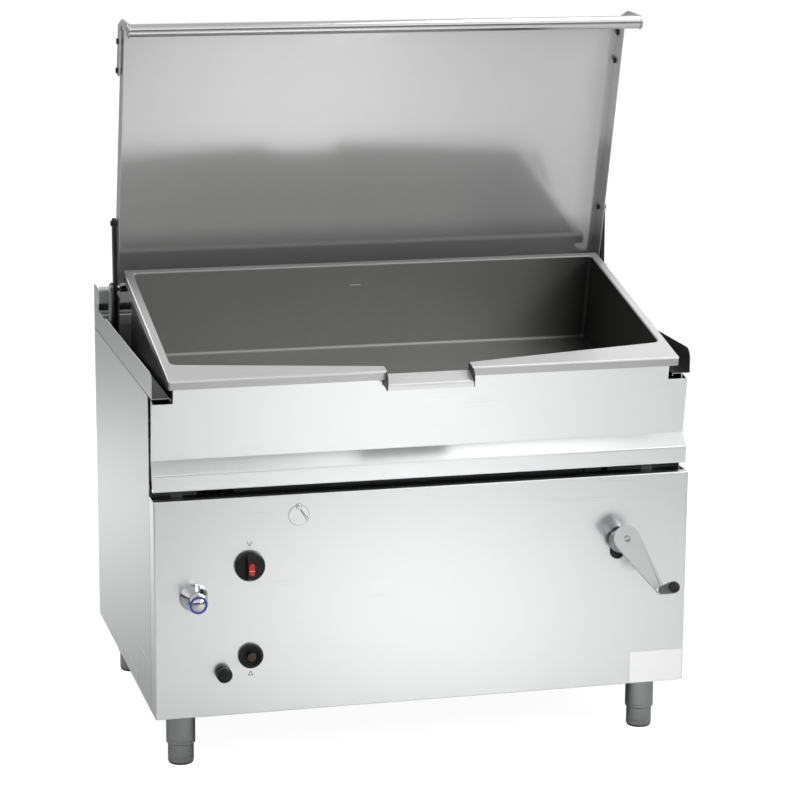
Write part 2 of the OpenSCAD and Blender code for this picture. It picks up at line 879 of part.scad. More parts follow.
module disc_screw() {
    color("silver") placed() {
        y_rod(disc_at[0], [-disc_off - disc_t - disc_screw_head, -disc_off - disc_t - clearance],
            disc_at[1], disc_screw_r);
        y_rod(disc_at[0], [-disc_off - disc_t - disc_screw_head, disc_screw_r], disc_at[1], disc_stem_r);
    }
}

// Bed, two bearing blocks and the legs that stand on the frame's rail
module screw_cradle() {
    color("gray") {
        in_screw() {
            box([-bed_half, bed_half], [front_bearing, rear_bearing + bearing_l],
                [-bed_drop - bed_t, -bed_drop]);
            for (s = [front_bearing, rear_bearing]) difference() {
                box([-nut_half, nut_half], [s, s + bearing_l], [-bed_drop, nut_top]);
                y_rod(0, [s - bearing_l, s + 2 * bearing_l], 0, screw_r + clearance);
            }
        }
        bed_z = screw_z - (bed_drop + bed_t) / cos(screw_slope);
        placed() for (side = [-1, 1])
            along_x([crank_x + side * (leg_half - frame_wall / 2) - frame_wall / 2,
                crank_x + side * (leg_half - frame_wall / 2) + frame_wall / 2])
                polygon([[leg_front, frame_base + frame_leg], [leg_rear, frame_base + frame_leg],
                    [leg_rear, bed_z - leg_rear * tan(screw_slope)],
                    [leg_front, bed_z - leg_front * tan(screw_slope)]]);
    }
}

module gas_knob() {
    color("black") placed() difference() {
        union() {
            y_rod(gas_at[0], [-knob_disc_d - knob_gap, -knob_gap], gas_at[1], gas_knob_r);
            intersection() {
                y_rod(gas_at[0], [-knob_disc_d - grip_bar_d, -knob_disc_d], gas_at[1], gas_knob_r - knob_gap);
                box([gas_at[0] - grip_bar_w / 2, gas_at[0] + grip_bar_w / 2],
                    [-knob_disc_d - grip_bar_d, 0],
                    [gas_at[1] - gas_knob_r, gas_at[1] + gas_knob_r]);
            }
        }
        y_rod(gas_at[0], [-valve_stem - sheet, sheet], gas_at[1], valve_stem_r + clearance);
    }
}

module knob_mark() {
    face = -knob_disc_d - grip_bar_d;
    color("red") placed() box([gas_at[0] - knob_mark_w / 2, gas_at[0] + knob_mark_w / 2],
        [face - knob_mark_t, face], [gas_at[1] - knob_mark_h / 2, gas_at[1] + knob_mark_h / 2]);
}

module ring_button() {
    color("dimgray") placed()
        y_rod(ring_at[0], [-ring_shaft_out, ring_shaft_in], ring_at[1], ring_shaft_r);
}

module igniter_button() {
    color("black") placed() {
        y_rod(igniter_at[0], [-igniter_out, -igniter_out + igniter_head], igniter_at[1], igniter_r);
        y_rod(igniter_at[0], [-igniter_out, ring_shaft_in], igniter_at[1], igniter_stem_r);
    }
}

module tap_knob() {
    rear = -tap_knob_front + tap_knob_d;
    color("silver") placed() difference() {
        union() {
            y_rod(tap_at[0], [-tap_knob_front, rear], tap_at[1], tap_knob_r - tap_lobe_r / 2);
            for (i = [0 : tap_lobes - 1])
                y_rod(tap_at[0] + (tap_knob_r - tap_lobe_r) * cos(i * 360 / tap_lobes),
                    [-tap_knob_front, rear],
                    tap_at[1] + (tap_knob_r - tap_lobe_r) * sin(i * 360 / tap_lobes), tap_lobe_r);
        }
        y_rod(tap_at[0], [-tap_knob_front + tap_cup_t, sheet], tap_at[1], tap_stem_r + clearance);
    }
}

module tap_ring() {
    color("royalblue") placed() difference() {
        y_rod(tap_at[0], [-tap_knob_front - tap_ring_t, -tap_knob_front], tap_at[1], tap_ring_r);
        y_rod(tap_at[0], [-tap_knob_front - 2 * tap_ring_t, -tap_knob_front + tap_ring_t], tap_at[1],
            tap_ring_r - tap_ring_w);
    }
}

module inspection_disc() {
    color("gainsboro") placed() difference() {
        union() {
            y_rod(disc_at[0], [-disc_off - disc_t, -disc_off], disc_at[1] - sight_drop, disc_r);
            y_rod(disc_at[0], [-disc_off - disc_t, -disc_off], disc_at[1], disc_screw_r + disc_t);
        }
        y_rod(disc_at[0], [-disc_r, disc_r], disc_at[1], disc_stem_r + clearance);
    }
}

module tilt_screw() {
    color("silver") in_screw() {
        y_rod(0, [head_s, screw_end], 0, screw_r);
        for (s = [front_bearing - collar_l - sheet, front_bearing + bearing_l + sheet,
            rear_bearing - collar_l - sheet])
            y_rod(0, [s, s + collar_l], 0, collar_r);
    }
}

module crank_hub() {
    color("gray") in_screw() difference() {
        y_rod(0, [head_s + head_t / 2, hub_rear], 0, hub_r);
        y_rod(0, [head_s - head_t, 0], 0, screw_r);
    }
}

// Tapered arm outline between the head and the grip's end
module arm_outline() {
    hull() {
        circle(head_r);
        translate([0, -arm_len]) circle(arm_end_r);
    }
}

// Turns what hangs straight down to the crank's angle
module on_arm() {
    in_screw() rotate([0, -arm_angle, 0]) children();
}

module crank_arm() {
    color("silver") on_arm() difference() {
        translate([0, head_s + head_t / 2, 0]) rotate([90, 0, 0]) linear_extrude(head_t) arm_outline();
        y_rod(0, [head_s, head_s + head_t], 0, screw_r);
        y_rod(0, [head_s - head_t, head_s + head_t], -arm_len, grip_pin_r);
    }
}

module grip_pin() {
    front = head_s - head_t / 2 - grip_gap - grip_len;
    color("silver") on_arm() {
        y_rod(0, [front + ferrule_l, head_s + head_t / 2], -arm_len, grip_pin_r);
        y_rod(0, [head_s - head_t / 2 - ferrule_l, head_s - head_t / 2], -arm_len, ferrule_r);
    }
}

module crank_grip() {
    rear = head_s - head_t / 2 - grip_gap - ferrule_l;
    length = grip_len - ferrule_l;
    color("black") on_arm() translate([0, rear, -arm_len]) rotate([90, 0, 0]) difference() {
        rotate_extrude() polygon([
            [0, 0], [grip_neck_r, 0], [grip_r, length / 3], [grip_r, length - grip_neck_r / 2],
            [grip_neck_r, length], [0, length]
        ]);
        translate([0, 0, -sheet]) cylinder(h = length - ferrule_l + sheet, r = grip_pin_r + clearance);
    }
}

module screw_nut() {
    color("goldenrod") in_screw() difference() {
        union() {
            box([-nut_half, nut_half], [nut_s - nut_half, nut_s + nut_half],
                [-bed_drop + 2 * clearance, nut_top]);
            x_rod([-trunnion_end, trunnion_end], nut_s, 0, trunnion_r);
        }
        y_rod(0, [nut_s - 2 * nut_half, nut_s + 2 * nut_half], 0, screw_r + clearance);
    }
}

// Outline of one link bar, from its lower eye at 0,0 to its upper eye
module link_outline() {
    circle(link_eye_r);
    translate([link_len, 0]) circle(link_eye_r);
    translate([0, -spacer_r]) square([link_len, 2 * spacer_r]);
}

module on_link() {
    placed() translate([crank_x, nut_rest[0], nut_rest[1]]) rotate([link_angle, 0, 0]) children();
}

module push_link() {
    color("silver") on_link() {
        for (side = [-1, 1]) difference() {
            along_x([side * (link_in + link_t / 2) - link_t / 2, side * (link_in + link_t / 2) + link_t / 2])
                link_outline();
            x_rod([-half_w, half_w], 0, 0, trunnion_r + clearance);
            x_rod([-half_w, half_w], link_len, 0, trunnion_r);
        }
        x_rod([-link_in, link_in], link_len / 2, 0, spacer_r / 2);
    }
}

module link_pin() {
    color("dimgray") on_link() {
        x_rod([-trunnion_end, trunnion_end], link_len, 0, trunnion_r);
        both_sides() x_rod([link_in + link_t, trunnion_end], link_len, 0, spacer_r);
    }
}

// Plan of the well: a rectangle whose front runs forward to the spout
module well_plan(grow) {
    side = rim_half - rim_side + grow;
    rear = rim_rear - rim_rear_w + grow;
    polygon([
        [-side, rear], [side, rear], [side, well_corner_y - grow],
        [spout_half - grow, well_front_y - grow], [-spout_half + grow, well_front_y - grow],
        [-side, well_corner_y - grow]
    ]);
}

// Side view of the spout: a sloping floor with a turned-down lip
module spout_floor() {
    polygon([
        [well_front_y + well_wall, spout_root_z], [spout_tip_y, spout_tip_z],
        [spout_tip_y, spout_tip_z - spout_lip], [spout_tip_y + well_wall, spout_tip_z - spout_lip],
        [spout_tip_y + well_wall, spout_tip_z - well_wall],
        [well_front_y + well_wall, spout_root_z - well_wall]
    ]);
}

// Rounded cheek beside the spout
module spout_cheek() {
    polygon([
        [well_front_y, rim_top], [rim_front, rim_top], [spout_tip_y, spout_tip_z + spout_lip],
        [spout_tip_y, spout_tip_z - spout_lip], [rim_front, spout_tip_z - spout_lip],
        [well_front_y, spout_root_z - 2 * spout_lip]
    ]);
}

module pan_well() {
    low = rim_top - well_depth - well_floor_t;
    rim_x = rim_half;
    color("dimgray") in_pan() difference() {
        union() {
            difference() {
                union() {
                    translate([0, 0, low]) linear_extrude(rim_top - low - rim_t) well_plan(well_wall);
                    box([-rim_x, rim_x], [rim_front, rim_rear], [rim_top - rim_t, rim_top]);
                    difference() {
                        box([-rim_x, rim_x], [rim_front, rim_rear], [rim_top - rim_skirt, rim_top]);
                        box([-rim_x + rim_skirt_t, rim_x - rim_skirt_t],
                            [rim_front + rim_skirt_t, rim_rear - rim_skirt_t],
                            [rim_top - 2 * rim_skirt, rim_top]);
                    }
                }
                translate([0, 0, rim_top - well_depth]) linear_extrude(2 * well_depth) well_plan(0);
                box([-spout_half, spout_half], [0, well_front_y + well_wall],
                    [spout_root_z - well_wall, 2 * rim_top]);
                box([-spout_half, spout_half], [0, rim_front + rim_skirt_t], [0, 2 * rim_top]);
            }
            along_x([-spout_half, spout_half]) spout_floor();
            both_sides() along_x([spout_half, spout_half + well_wall]) spout_cheek();
        }
    }
}

module pan_apron() {
    t = sheet;
    color("gainsboro") in_pan() {
        difference() {
            along_x([-apron_half, apron_half]) polygon([
                apron_top, apron_bend, nose_top, nose_bottom, nose_lip,
                nose_lip + [0, t], nose_bottom + [t, t], nose_top + [t, -t / 2],
                apron_bend + [t, -t / 2], apron_top + [t, 0]
            ]);
            both_sides() box([apron_notch_x, cabinet_w], [0, cabinet_d], [apron_notch_z, cabinet_d * 2]);
            box([-spout_notch_half, spout_notch_half], [0, cabinet_d], [spout_notch_z, cabinet_d * 2]);
        }
        both_sides() difference() {
            along_x([apron_side_in, apron_side_in + t]) polygon([
                apron_top + [t / 2, 0], apron_bend + [t / 2, 0], nose_top + [t / 2, 0],
                nose_bottom + [t / 2, t / 2], nose_lip + [0, t / 2],
                apron_bend + [apron_side_d, 0], apron_top + [apron_side_d, 0]
            ]);
            box([0, cabinet_w], [0, cabinet_d], [apron_notch_z, cabinet_d * 2]);
        }
    }
}

// Runner channel with its open side down
module runner() {
    low = rim_top - well_depth - well_floor_t - runner_h;
    difference() {
        box([runner_in, runner_out], [runner_front, rear_beam_rear], [low, low + runner_h]);
        box([runner_in + runner_wall, runner_out - runner_wall],
            [runner_front - runner_wall, rear_beam_front], [low - runner_wall, low + runner_h - runner_wall]);
    }
}

module lug_outline() {
    low = rim_top - well_depth - well_floor_t - runner_h;
    polygon(concat(
        [for (a = [90 : 15 : 270]) [pivot_y + lug_eye_r * cos(a), pivot_z + lug_eye_r * sin(a)]],
        [[runner_front + runner_h, low], [runner_front + runner_h, low + runner_h - runner_wall / 2],
         [well_corner_y - runner_wall, low + runner_h - runner_wall / 2]]));
}

// Posts that carry the lid: a channel up to the lid, and one cheek up to the pin
module lid_post() {
    low = rim_top - well_depth - well_floor_t;
    difference() {
        union() {
            box([post_in, post_out], [rear_beam_front, rear_beam_rear], [low, post_top]);
            along_x([post_out - post_cheek, post_out]) {
                translate([hinge_y, hinge_z]) circle(arm_eye_r);
                polygon([[hinge_y - arm_eye_r, hinge_z], [hinge_y + arm_eye_r, hinge_z],
                    [rear_beam_rear, post_top], [rear_beam_front, post_top]]);
            }
        }
        box([post_in + post_wall, post_out - post_cheek],
            [rear_beam_front - post_wall, rear_beam_rear - post_wall],
            [low + post_wall, 2 * post_top]);
        x_rod([post_out - 2 * post_cheek, half_w], hinge_y, hinge_z, lid_pin_r + clearance);
    }
}

module pan_subframe() {
    low = rim_top - well_depth - well_floor_t - runner_h;
    lug_at = [pivot_y + lug_pin[0] + window_shift[0], pivot_z + lug_pin[1] + window_shift[1]];
    plate_r = window_r + window_wall;
    color("gray") in_pan() {
        both_sides() {
            runner();
            difference() {
                along_x([lug_in, lug_out]) lug_outline();
                x_rod([0, half_w], pivot_y, pivot_z, pin_r + bush_wall);
            }
            lid_post();
        }
        box([-post_out, post_out], [rear_beam_front, rear_beam_rear], [low, low + runner_h]);
        for (side = [-1, 1]) difference() {
            along_x([crank_x + side * (lug_plate_in + lug_plate_t / 2) - lug_plate_t / 2,
                crank_x + side * (lug_plate_in + lug_plate_t / 2) + lug_plate_t / 2]) {
                translate(lug_at) circle(plate_r);
                translate([lug_at[0] - plate_r, lug_at[1]])
                    square([2 * plate_r, low + runner_h - lug_at[1]]);
            }
            x_rod([0, half_w], lug_at[0], lug_at[1], window_r);
        }
        box([crank_x - lug_plate_in - lug_plate_t, runner_in + runner_wall],
            [lug_at[0] + plate_r, lug_at[0] + plate_r + runner_h], [low, low + runner_h]);
    }
}

module pivot_bushes() {
    color("goldenrod") in_pan() both_sides() difference() {
        x_rod([lug_in, lug_out], pivot_y, pivot_z, pin_r + bush_wall);
        x_rod([0, half_w], pivot_y, pivot_z, pin_r + clearance);
    }
}

module hinge_washers() {
    color("black") in_pan() both_sides() difference() {
        x_rod([arm_out + clearance, post_out - post_cheek], hinge_y, hinge_z, arm_eye_r);
        x_rod([0, half_w], hinge_y, hinge_z, lid_pin_r + clearance);
    }
}

module lid_tray() {
    skirt_low = lid_under - skirt_h;
    color("gainsboro") in_lid() {
        box([-lid_half, lid_half], [lid_front, lid_rear], [lid_under, lid_under + lid_t]);
        difference() {
            box([-lid_half, lid_half], [lid_front, lid_front + lid_t], [skirt_low, lid_under]);
            box([-spout_half - well_wall - spout_room, spout_half + well_wall + spout_room],
                [lid_front - lid_t, lid_front + 2 * lid_t], [skirt_low - lid_t, rim_top - lid_t]);
        }
        box([-lid_half, lid_half], [lid_rear - lid_t, lid_rear], [lid_under - rear_skirt_h, lid_under]);
        both_sides() difference() {
            along_x([lid_half - lid_t, lid_half]) polygon([
                [lid_front, skirt_low], [skirt_notch_y, skirt_low],
                [skirt_notch_y + skirt_notch_h, skirt_low + skirt_notch_h],
                [lid_rear, skirt_low + skirt_notch_h], [lid_rear, lid_under], [lid_front, lid_under]
            ]);
            for (i = [0, 1])
                x_rod([0, half_w], bracket_bolt_y[i], bracket_bolt_z[i], bolt_r);
            x_rod([0, half_w], arm_bolt[0], arm_bolt[1], bolt_r);
        }
    }
}

module lid_handle() {
    color("silver") in_lid() difference() {
        x_rod([-bracket_plate_out, bracket_plate_out], bar_y, bar_z, bar_r);
        x_rod([-bracket_plate_in, bracket_plate_in], bar_y, bar_z, bar_r - bar_wall);
    }
}

// Plate that carries the bar: along the skirt, forward to a peak and down to the bar
module lid_bracket_plate() {
    eye = bar_r + eye_wall;
    tip_y = bracket_bolt_y[1];
    tip_z = bracket_bolt_z[1];
    polygon(concat(
        [for (a = [90 : -15 : -90]) [tip_y + bracket_tip_r * cos(a), tip_z + bracket_tip_r * sin(a)]],
        [[lid_front + bar_r / 3, tip_z - bracket_tip_r], [-bar_y, lid_under - skirt_h - sheet],
         [bar_y + 0.85 * eye, bar_z + 0.5 * eye]],
        [for (a = [0 : -15 : -180]) [bar_y + eye * cos(a), bar_z + eye * sin(a)]],
        [[bar_y - 0.85 * eye, bar_z + 0.5 * eye], [bar_y + sheet * 2, lid_under - skirt_h + 2 * eye_wall],
         [lid_front, bracket_bolt_z[0] + bracket_tip_r - sheet]]));
}

module lid_brackets() {
    color("silver") in_lid() both_sides() difference() {
        along_x([bracket_plate_in, bracket_plate_out]) lid_bracket_plate();
        x_rod([0, half_w], bar_y, bar_z, bar_r);
        for (i = [0, 1])
            x_rod([0, half_w], bracket_bolt_y[i], bracket_bolt_z[i], bolt_r);
    }
}

module lid_arms() {
    run = arm_bolt[0] - hinge_y;
    rise = arm_bolt[1] - hinge_z;
    long = sqrt(run * run + rise * rise);
    side = [rise, -run] * arm_eye_r / long;
    color("dimgray") in_lid() both_sides() difference() {
        along_x([arm_in, arm_out]) {
            translate([hinge_y, hinge_z]) circle(arm_eye_r);
            translate(arm_bolt) circle(arm_eye_r);
            polygon([[hinge_y, hinge_z] + side, arm_bolt + side, arm_bolt - side, [hinge_y, hinge_z] - side]);
        }
        x_rod([0, half_w], hinge_y, hinge_z, lid_pin_r);
        x_rod([0, half_w], arm_bolt[0], arm_bolt[1], bolt_r);
    }
}

// One bolt through the skirt, with its nut inside, a spacer and a hexagonal head
module skirt_bolt(y, z, face) {
    nut_in = lid_half - lid_t - bolt_head;
    x_rod([nut_in, face + bolt_head], y, z, bolt_r);
    for (x = [nut_in, face])
        translate([x, y, z]) rotate([30, 0, 0]) rotate([0, 90, 0])
            cylinder(h = bolt_head, r = bolt_head_r, $fn = 6);
    x_rod([lid_half, bracket_plate_in], y, z, bolt_head_r);
}

module lid_fasteners() {
    color("dimgray") in_lid() both_sides() {
        for (i = [0, 1]) skirt_bolt(bracket_bolt_y[i], bracket_bolt_z[i], bracket_plate_out);
        skirt_bolt(arm_bolt[0], arm_bolt[1], arm_out);
    }
}

module lid_hinge_pins() {
    color("silver") in_lid() both_sides() {
        x_rod([boss_in, lid_pin_end], hinge_y, hinge_z, lid_pin_r);
        translate([boss_in, hinge_y, hinge_z]) rotate([0, 90, 0])
            cylinder(h = lid_half - 2 * lid_t - boss_in, r = boss_r, $fn = 8);
        x_rod([post_out + clearance, lid_pin_end], hinge_y, hinge_z, hinge_nut_r);
    }
}

cabinet_frame();
front_panel();
left_side_panel();
right_side_panel();
access_cover();
blank_plates();
rear_panel();
bottom_panel();
side_rails();
rear_deck();
flue_body();
flue_cap();
pivot_brackets();
pivot_pins();
foot_sleeves();
foot_stem_front_left();
foot_stem_front_right();
foot_stem_rear_left();
foot_stem_rear_right();
foot_pad_front_left();
foot_pad_front_right();
foot_pad_rear_left();
foot_pad_rear_right();
gas_valve();
gas_pipe();
gas_manifold();
burner_tubes();
burner_tray();
water_pipe();
tap_escutcheon();
tap_body();
control_bezels();
disc_screw();
screw_cradle();
gas_knob();
knob_mark();
ring_button();
igniter_button();
tap_knob();
tap_ring();
inspection_disc();
tilt_screw();
crank_hub();
crank_arm();
grip_pin();
crank_grip();
screw_nut();
push_link();
link_pin();
pan_well();
pan_apron();
pan_subframe();
pivot_bushes();
hinge_washers();
lid_tray();
lid_handle();
lid_brackets();
lid_arms();
lid_fasteners();
lid_hinge_pins();
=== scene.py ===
# Gas-heated tilting bratt pan: a stainless cabinet on four feet, a pan that a hand crank tips
# forward over the front, and a hinged lid. Lengths are millimetres in the object's own places,
# with depths counted from the front panel, and each finished piece is set in the frame in metres.
import math

import bmesh
import bpy
from mathutils import Matrix, Vector


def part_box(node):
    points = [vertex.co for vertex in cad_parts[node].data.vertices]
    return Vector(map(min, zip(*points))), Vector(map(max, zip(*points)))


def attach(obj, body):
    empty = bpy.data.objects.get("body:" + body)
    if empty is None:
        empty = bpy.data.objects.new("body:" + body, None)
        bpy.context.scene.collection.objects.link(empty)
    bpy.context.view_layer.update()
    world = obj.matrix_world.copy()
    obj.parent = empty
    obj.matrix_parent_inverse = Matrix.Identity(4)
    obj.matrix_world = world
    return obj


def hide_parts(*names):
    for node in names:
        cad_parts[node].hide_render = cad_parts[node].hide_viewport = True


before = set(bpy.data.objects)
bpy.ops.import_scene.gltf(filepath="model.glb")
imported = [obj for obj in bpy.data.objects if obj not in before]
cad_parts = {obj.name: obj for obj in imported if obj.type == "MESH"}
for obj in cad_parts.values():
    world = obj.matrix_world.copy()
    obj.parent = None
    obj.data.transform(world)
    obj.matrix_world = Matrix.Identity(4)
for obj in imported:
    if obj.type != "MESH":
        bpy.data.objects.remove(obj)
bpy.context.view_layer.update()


# Camera. A long lens stands to the left of the middle and well above the pan's rim, with its
# picture plane a little turned, as it was when the appliance was photographed.
camera_at = (-1.5384, -6.0821, 2.1347)
camera_yaw = 0.25527582
camera_pitch = 0.22275097
camera_roll = 0.00635663
lens = bpy.data.cameras.new("camera")
lens.sensor_width = 36
lens.lens = 125.68
lens.clip_end = 200
camera = bpy.data.objects.new("camera", lens)
bpy.context.collection.objects.link(camera)
camera.matrix_world = (
    Matrix.Translation(camera_at)
    @ Matrix.Rotation(-camera_yaw, 4, "Z")
    @ Matrix.Rotation(math.pi / 2 - camera_pitch, 4, "X")
    @ Matrix.Rotation(camera_roll, 4, "Z")
)
bpy.context.scene.camera = camera
bpy.context.scene.view_settings.view_transform = "Standard"


# Studio. A pale floor runs out to a white surround. What the metal mirrors is darker along the
# foot of the walls and overhead, and pools of light on the floor give the sheets their gradients.
def node_chain(tree, kind, **values):
    """A new shader node with its sockets set by name."""
    node = tree.nodes.new(kind)
    for socket, value in values.items():
        node.inputs[socket.replace("_", " ")].default_value = value
    return node


def seen_rays(tree, *others):
    """One for rays that the eye sends out, or one of the other kinds, and nought for the rest."""
    path = tree.nodes.new("ShaderNodeLightPath")
    total = path.outputs["Is Camera Ray"]
    for kind in others:
        either = tree.nodes.new("ShaderNodeMath")
        either.operation = "MAXIMUM"
        tree.links.new(total, either.inputs[0])
        tree.links.new(path.outputs[kind], either.inputs[1])
        total = either.outputs[0]
    return total


studio = bpy.data.worlds.new("studio")
studio.use_nodes = True
bpy.context.scene.world = studio
tree = studio.node_tree
tree.nodes.clear()
surround = tree.nodes.new("ShaderNodeTexCoord")
height = tree.nodes.new("ShaderNodeSeparateXYZ")
tree.links.new(surround.outputs["Generated"], height.inputs[0])
dusk = tree.nodes.new("ShaderNodeValToRGB")
walls = [(0.0, 0.06), (0.16, 0.06), (0.24, 0.95), (0.45, 1.0), (0.85, 0.56)]
while len(dusk.color_ramp.elements) < len(walls):
    dusk.color_ramp.elements.new(0.5)
for stop, (up, tone) in zip(dusk.color_ramp.elements, walls):
    stop.position = up
    stop.color = (tone, tone, tone, 1)
tree.links.new(height.outputs["Z"], dusk.inputs[0])
mirrored = node_chain(tree, "ShaderNodeBackground", Strength=1.0)
tree.links.new(dusk.outputs[0], mirrored.inputs["Color"])
fill = node_chain(tree, "ShaderNodeBackground", Color=(1, 1, 1, 1), Strength=0.36)
white = node_chain(tree, "ShaderNodeBackground", Color=(1, 1, 1, 1), Strength=1.0)
by_mirror = tree.nodes.new("ShaderNodeMixShader")
tree.links.new(tree.nodes.new("ShaderNodeLightPath").outputs["Is Glossy Ray"], by_mirror.inputs[0])
tree.links.new(fill.outputs[0], by_mirror.inputs[1])
tree.links.new(mirrored.outputs[0], by_mirror.inputs[2])
by_eye = tree.nodes.new("ShaderNodeMixShader")
tree.links.new(seen_rays(tree, "Is Transmission Ray"), by_eye.inputs[0])
tree.links.new(by_mirror.outputs[0], by_eye.inputs[1])
tree.links.new(white.outputs[0], by_eye.inputs[2])
world_out = tree.nodes.new("ShaderNodeOutputWorld")
tree.links.new(by_eye.outputs[0], world_out.inputs[0])

floor_half = 30
floor_bm = bmesh.new()
bmesh.ops.create_grid(floor_bm, x_segments=1, y_segments=1, size=floor_half)
floor_mesh = bpy.data.meshes.new("floor")
floor_bm.to_mesh(floor_mesh)
floor_bm.free()
floor = bpy.data.objects.new("floor", floor_mesh)
bpy.context.collection.objects.link(floor)
floor_paint = bpy.data.materials.new("floor")
floor_paint.use_nodes = True
tree = floor_paint.node_tree
tree.nodes.clear()
matt = node_chain(tree, "ShaderNodeBsdfDiffuse", Color=(0.74, 0.74, 0.74, 1))
glow = node_chain(tree, "ShaderNodeEmission", Color=(1, 1, 1, 1), Strength=1.52)
share = tree.nodes.new("ShaderNodeMath")
share.operation = "MULTIPLY"
share.inputs[1].default_value = 0.62
tree.links.new(seen_rays(tree, "Is Transmission Ray"), share.inputs[0])
floor_mix = tree.nodes.new("ShaderNodeMixShader")
tree.links.new(share.outputs[0], floor_mix.inputs[0])
tree.links.new(matt.outputs[0], floor_mix.inputs[1])
tree.links.new(glow.outputs[0], floor_mix.inputs[2])
floor_out = tree.nodes.new("ShaderNodeOutputMaterial")
tree.links.new(floor_mix.outputs[0], floor_out.inputs[0])
floor_mesh.materials.append(floor_paint)


def soft_box(name, place, aim, width, depth, power, turn=0.0):
    """A rectangular lamp that faces its aim, and may be turned about that line."""
    data = bpy.data.lights.new(name, "AREA")
    data.shape = "RECTANGLE"
    data.size = width
    data.size_y = depth
    data.energy = power
    lamp = bpy.data.objects.new(name, data)
    bpy.context.collection.objects.link(lamp)
    lamp.location = place
    facing = (Vector(aim) - Vector(place)).to_track_quat("-Z", "Y").to_matrix()
    lamp.rotation_euler = (facing @ Matrix.Rotation(turn, 3, "Z")).to_euler()


soft_box("key", (4.0, -3.4, 3.4), (0, 0, 0.7), 2.0, 2.0, 95)
soft_box("overhead", (1.1, -0.3, 3.6), (0.2, -0.1, 0.8), 2.2, 1.0, 17)
soft_box("front pool", (0.35, -1.9, 0.7), (0.35, -1.9, 0), 0.6, 2.3, 12, turn=0.25)
soft_box("side pool", (-1.1, 2.1, 1.6), (-1.0, 2.0, 0), 1.4, 1.4, 30)


# Cabinet frame. Angle sections are welded into a frame that carries the sheets, with a sheet under it and a bed
# for the tilting screw; all are galvanised steel, given a darker grey as painted shade for the cabinet's
# inside, and stay out of sight.
def ramp(tree, source, low, high):
    """Turns a factor into a value between low and high."""
    between = tree.nodes.new("ShaderNodeMapRange")
    for socket, value in (("From Min", 0.25), ("From Max", 0.75), ("To Min", low), ("To Max", high)):
        between.inputs[socket].default_value = value
    tree.links.new(source, between.inputs["Value"])
    return between.outputs["Result"]


def ground_metal(name, colour, roughness, grain, depth=0.00004, spread=0.05, cloud=3.0, metal=1.0):
    """Metal ground with a belt: streaks drawn out along the grain, and faint broad clouding."""
    material = bpy.data.materials.new(name)
    material.use_nodes = True
    tree = material.node_tree
    shader = tree.nodes["Principled BSDF"]
    shader.inputs["Metallic"].default_value = metal
    place = tree.nodes.new("ShaderNodeTexCoord").outputs["Object"]
    drawn = node_chain(tree, "ShaderNodeMapping", Scale=grain)
    tree.links.new(place, drawn.inputs["Vector"])
    streaks = node_chain(tree, "ShaderNodeTexNoise", Scale=1.0, Detail=6.0, Roughness=0.62)
    tree.links.new(drawn.outputs[0], streaks.inputs["Vector"])
    clouds = node_chain(tree, "ShaderNodeTexNoise", Scale=cloud, Detail=2.0)
    tree.links.new(place, clouds.inputs["Vector"])
    both = tree.nodes.new("ShaderNodeMix")
    both.inputs["Factor"].default_value = 0.45
    tree.links.new(streaks.outputs["Fac"], both.inputs["A"])
    tree.links.new(clouds.outputs["Fac"], both.inputs["B"])
    shade = tree.nodes.new("ShaderNodeMix")
    shade.data_type = "RGBA"
    dark = [channel * (1 - spread) for channel in colour]
    light = [min(1, channel * (1 + spread)) for channel in colour]
    shade.inputs["A"].default_value = (*dark, 1)
    shade.inputs["B"].default_value = (*light, 1)
    tree.links.new(ramp(tree, both.outputs["Result"], 0, 1), shade.inputs["Factor"])
    tree.links.new(shade.outputs["Result"], shader.inputs["Base Color"])
    swing = 0.012
    rough = ramp(tree, both.outputs["Result"], roughness - swing, roughness + swing)
    tree.links.new(rough, shader.inputs["Roughness"])
    scratch = node_chain(tree, "ShaderNodeBump", Strength=0.6, Distance=depth)
    tree.links.new(streaks.outputs["Fac"], scratch.inputs["Height"])
    tree.links.new(scratch.outputs[0], shader.inputs["Normal"])
    return material


fine_all = (420, 420, 420)
# Partly painted shade: galvanised grey, darkened to stand for the shade inside the cabinet.
hidden_steel = ground_metal("galvanised section with painted shade", (0.22, 0.225, 0.225), 0.5, fine_all, spread=0.16, cloud=30)


def finish_nodes(material, *names):
    """Gives solids that keep their own shape a finish."""
    for name in names:
        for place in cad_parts[name].material_slots:
            place.material = material


finish_nodes(hidden_steel, "cabinet_frame", "bottom_panel", "screw_cradle")


# Cabinet sheets. Each is one cut and folded stainless sheet 1.5 mm thick, ground along its length;
# the front is a shallow tray with its flanges turned back, and the sides and back are a duller grade.
MM = 0.001


def width_across(face, edge):
    """How far a face reaches, square to the middle of one of its edges."""
    loop = next(loop for loop in face.loops if loop.edge == edge)
    start = (loop.vert.co + loop.link_loop_next.vert.co) / 2
    along_edge = (loop.link_loop_next.vert.co - loop.vert.co).normalized()
    inward = face.normal.cross(along_edge)
    reach = 10.0  # metres, more than any face here
    for other in face.edges:
        near, far = (vert.co - start for vert in other.verts)
        near_side, far_side = near.dot(along_edge), far.dot(along_edge)
        if other == edge or near_side * far_side > 0 or near_side == far_side:
            continue
        distance = near.lerp(far, near_side / (near_side - far_side)).dot(inward)
        if distance > 0.01 * MM:
            reach = min(reach, distance)
    return reach


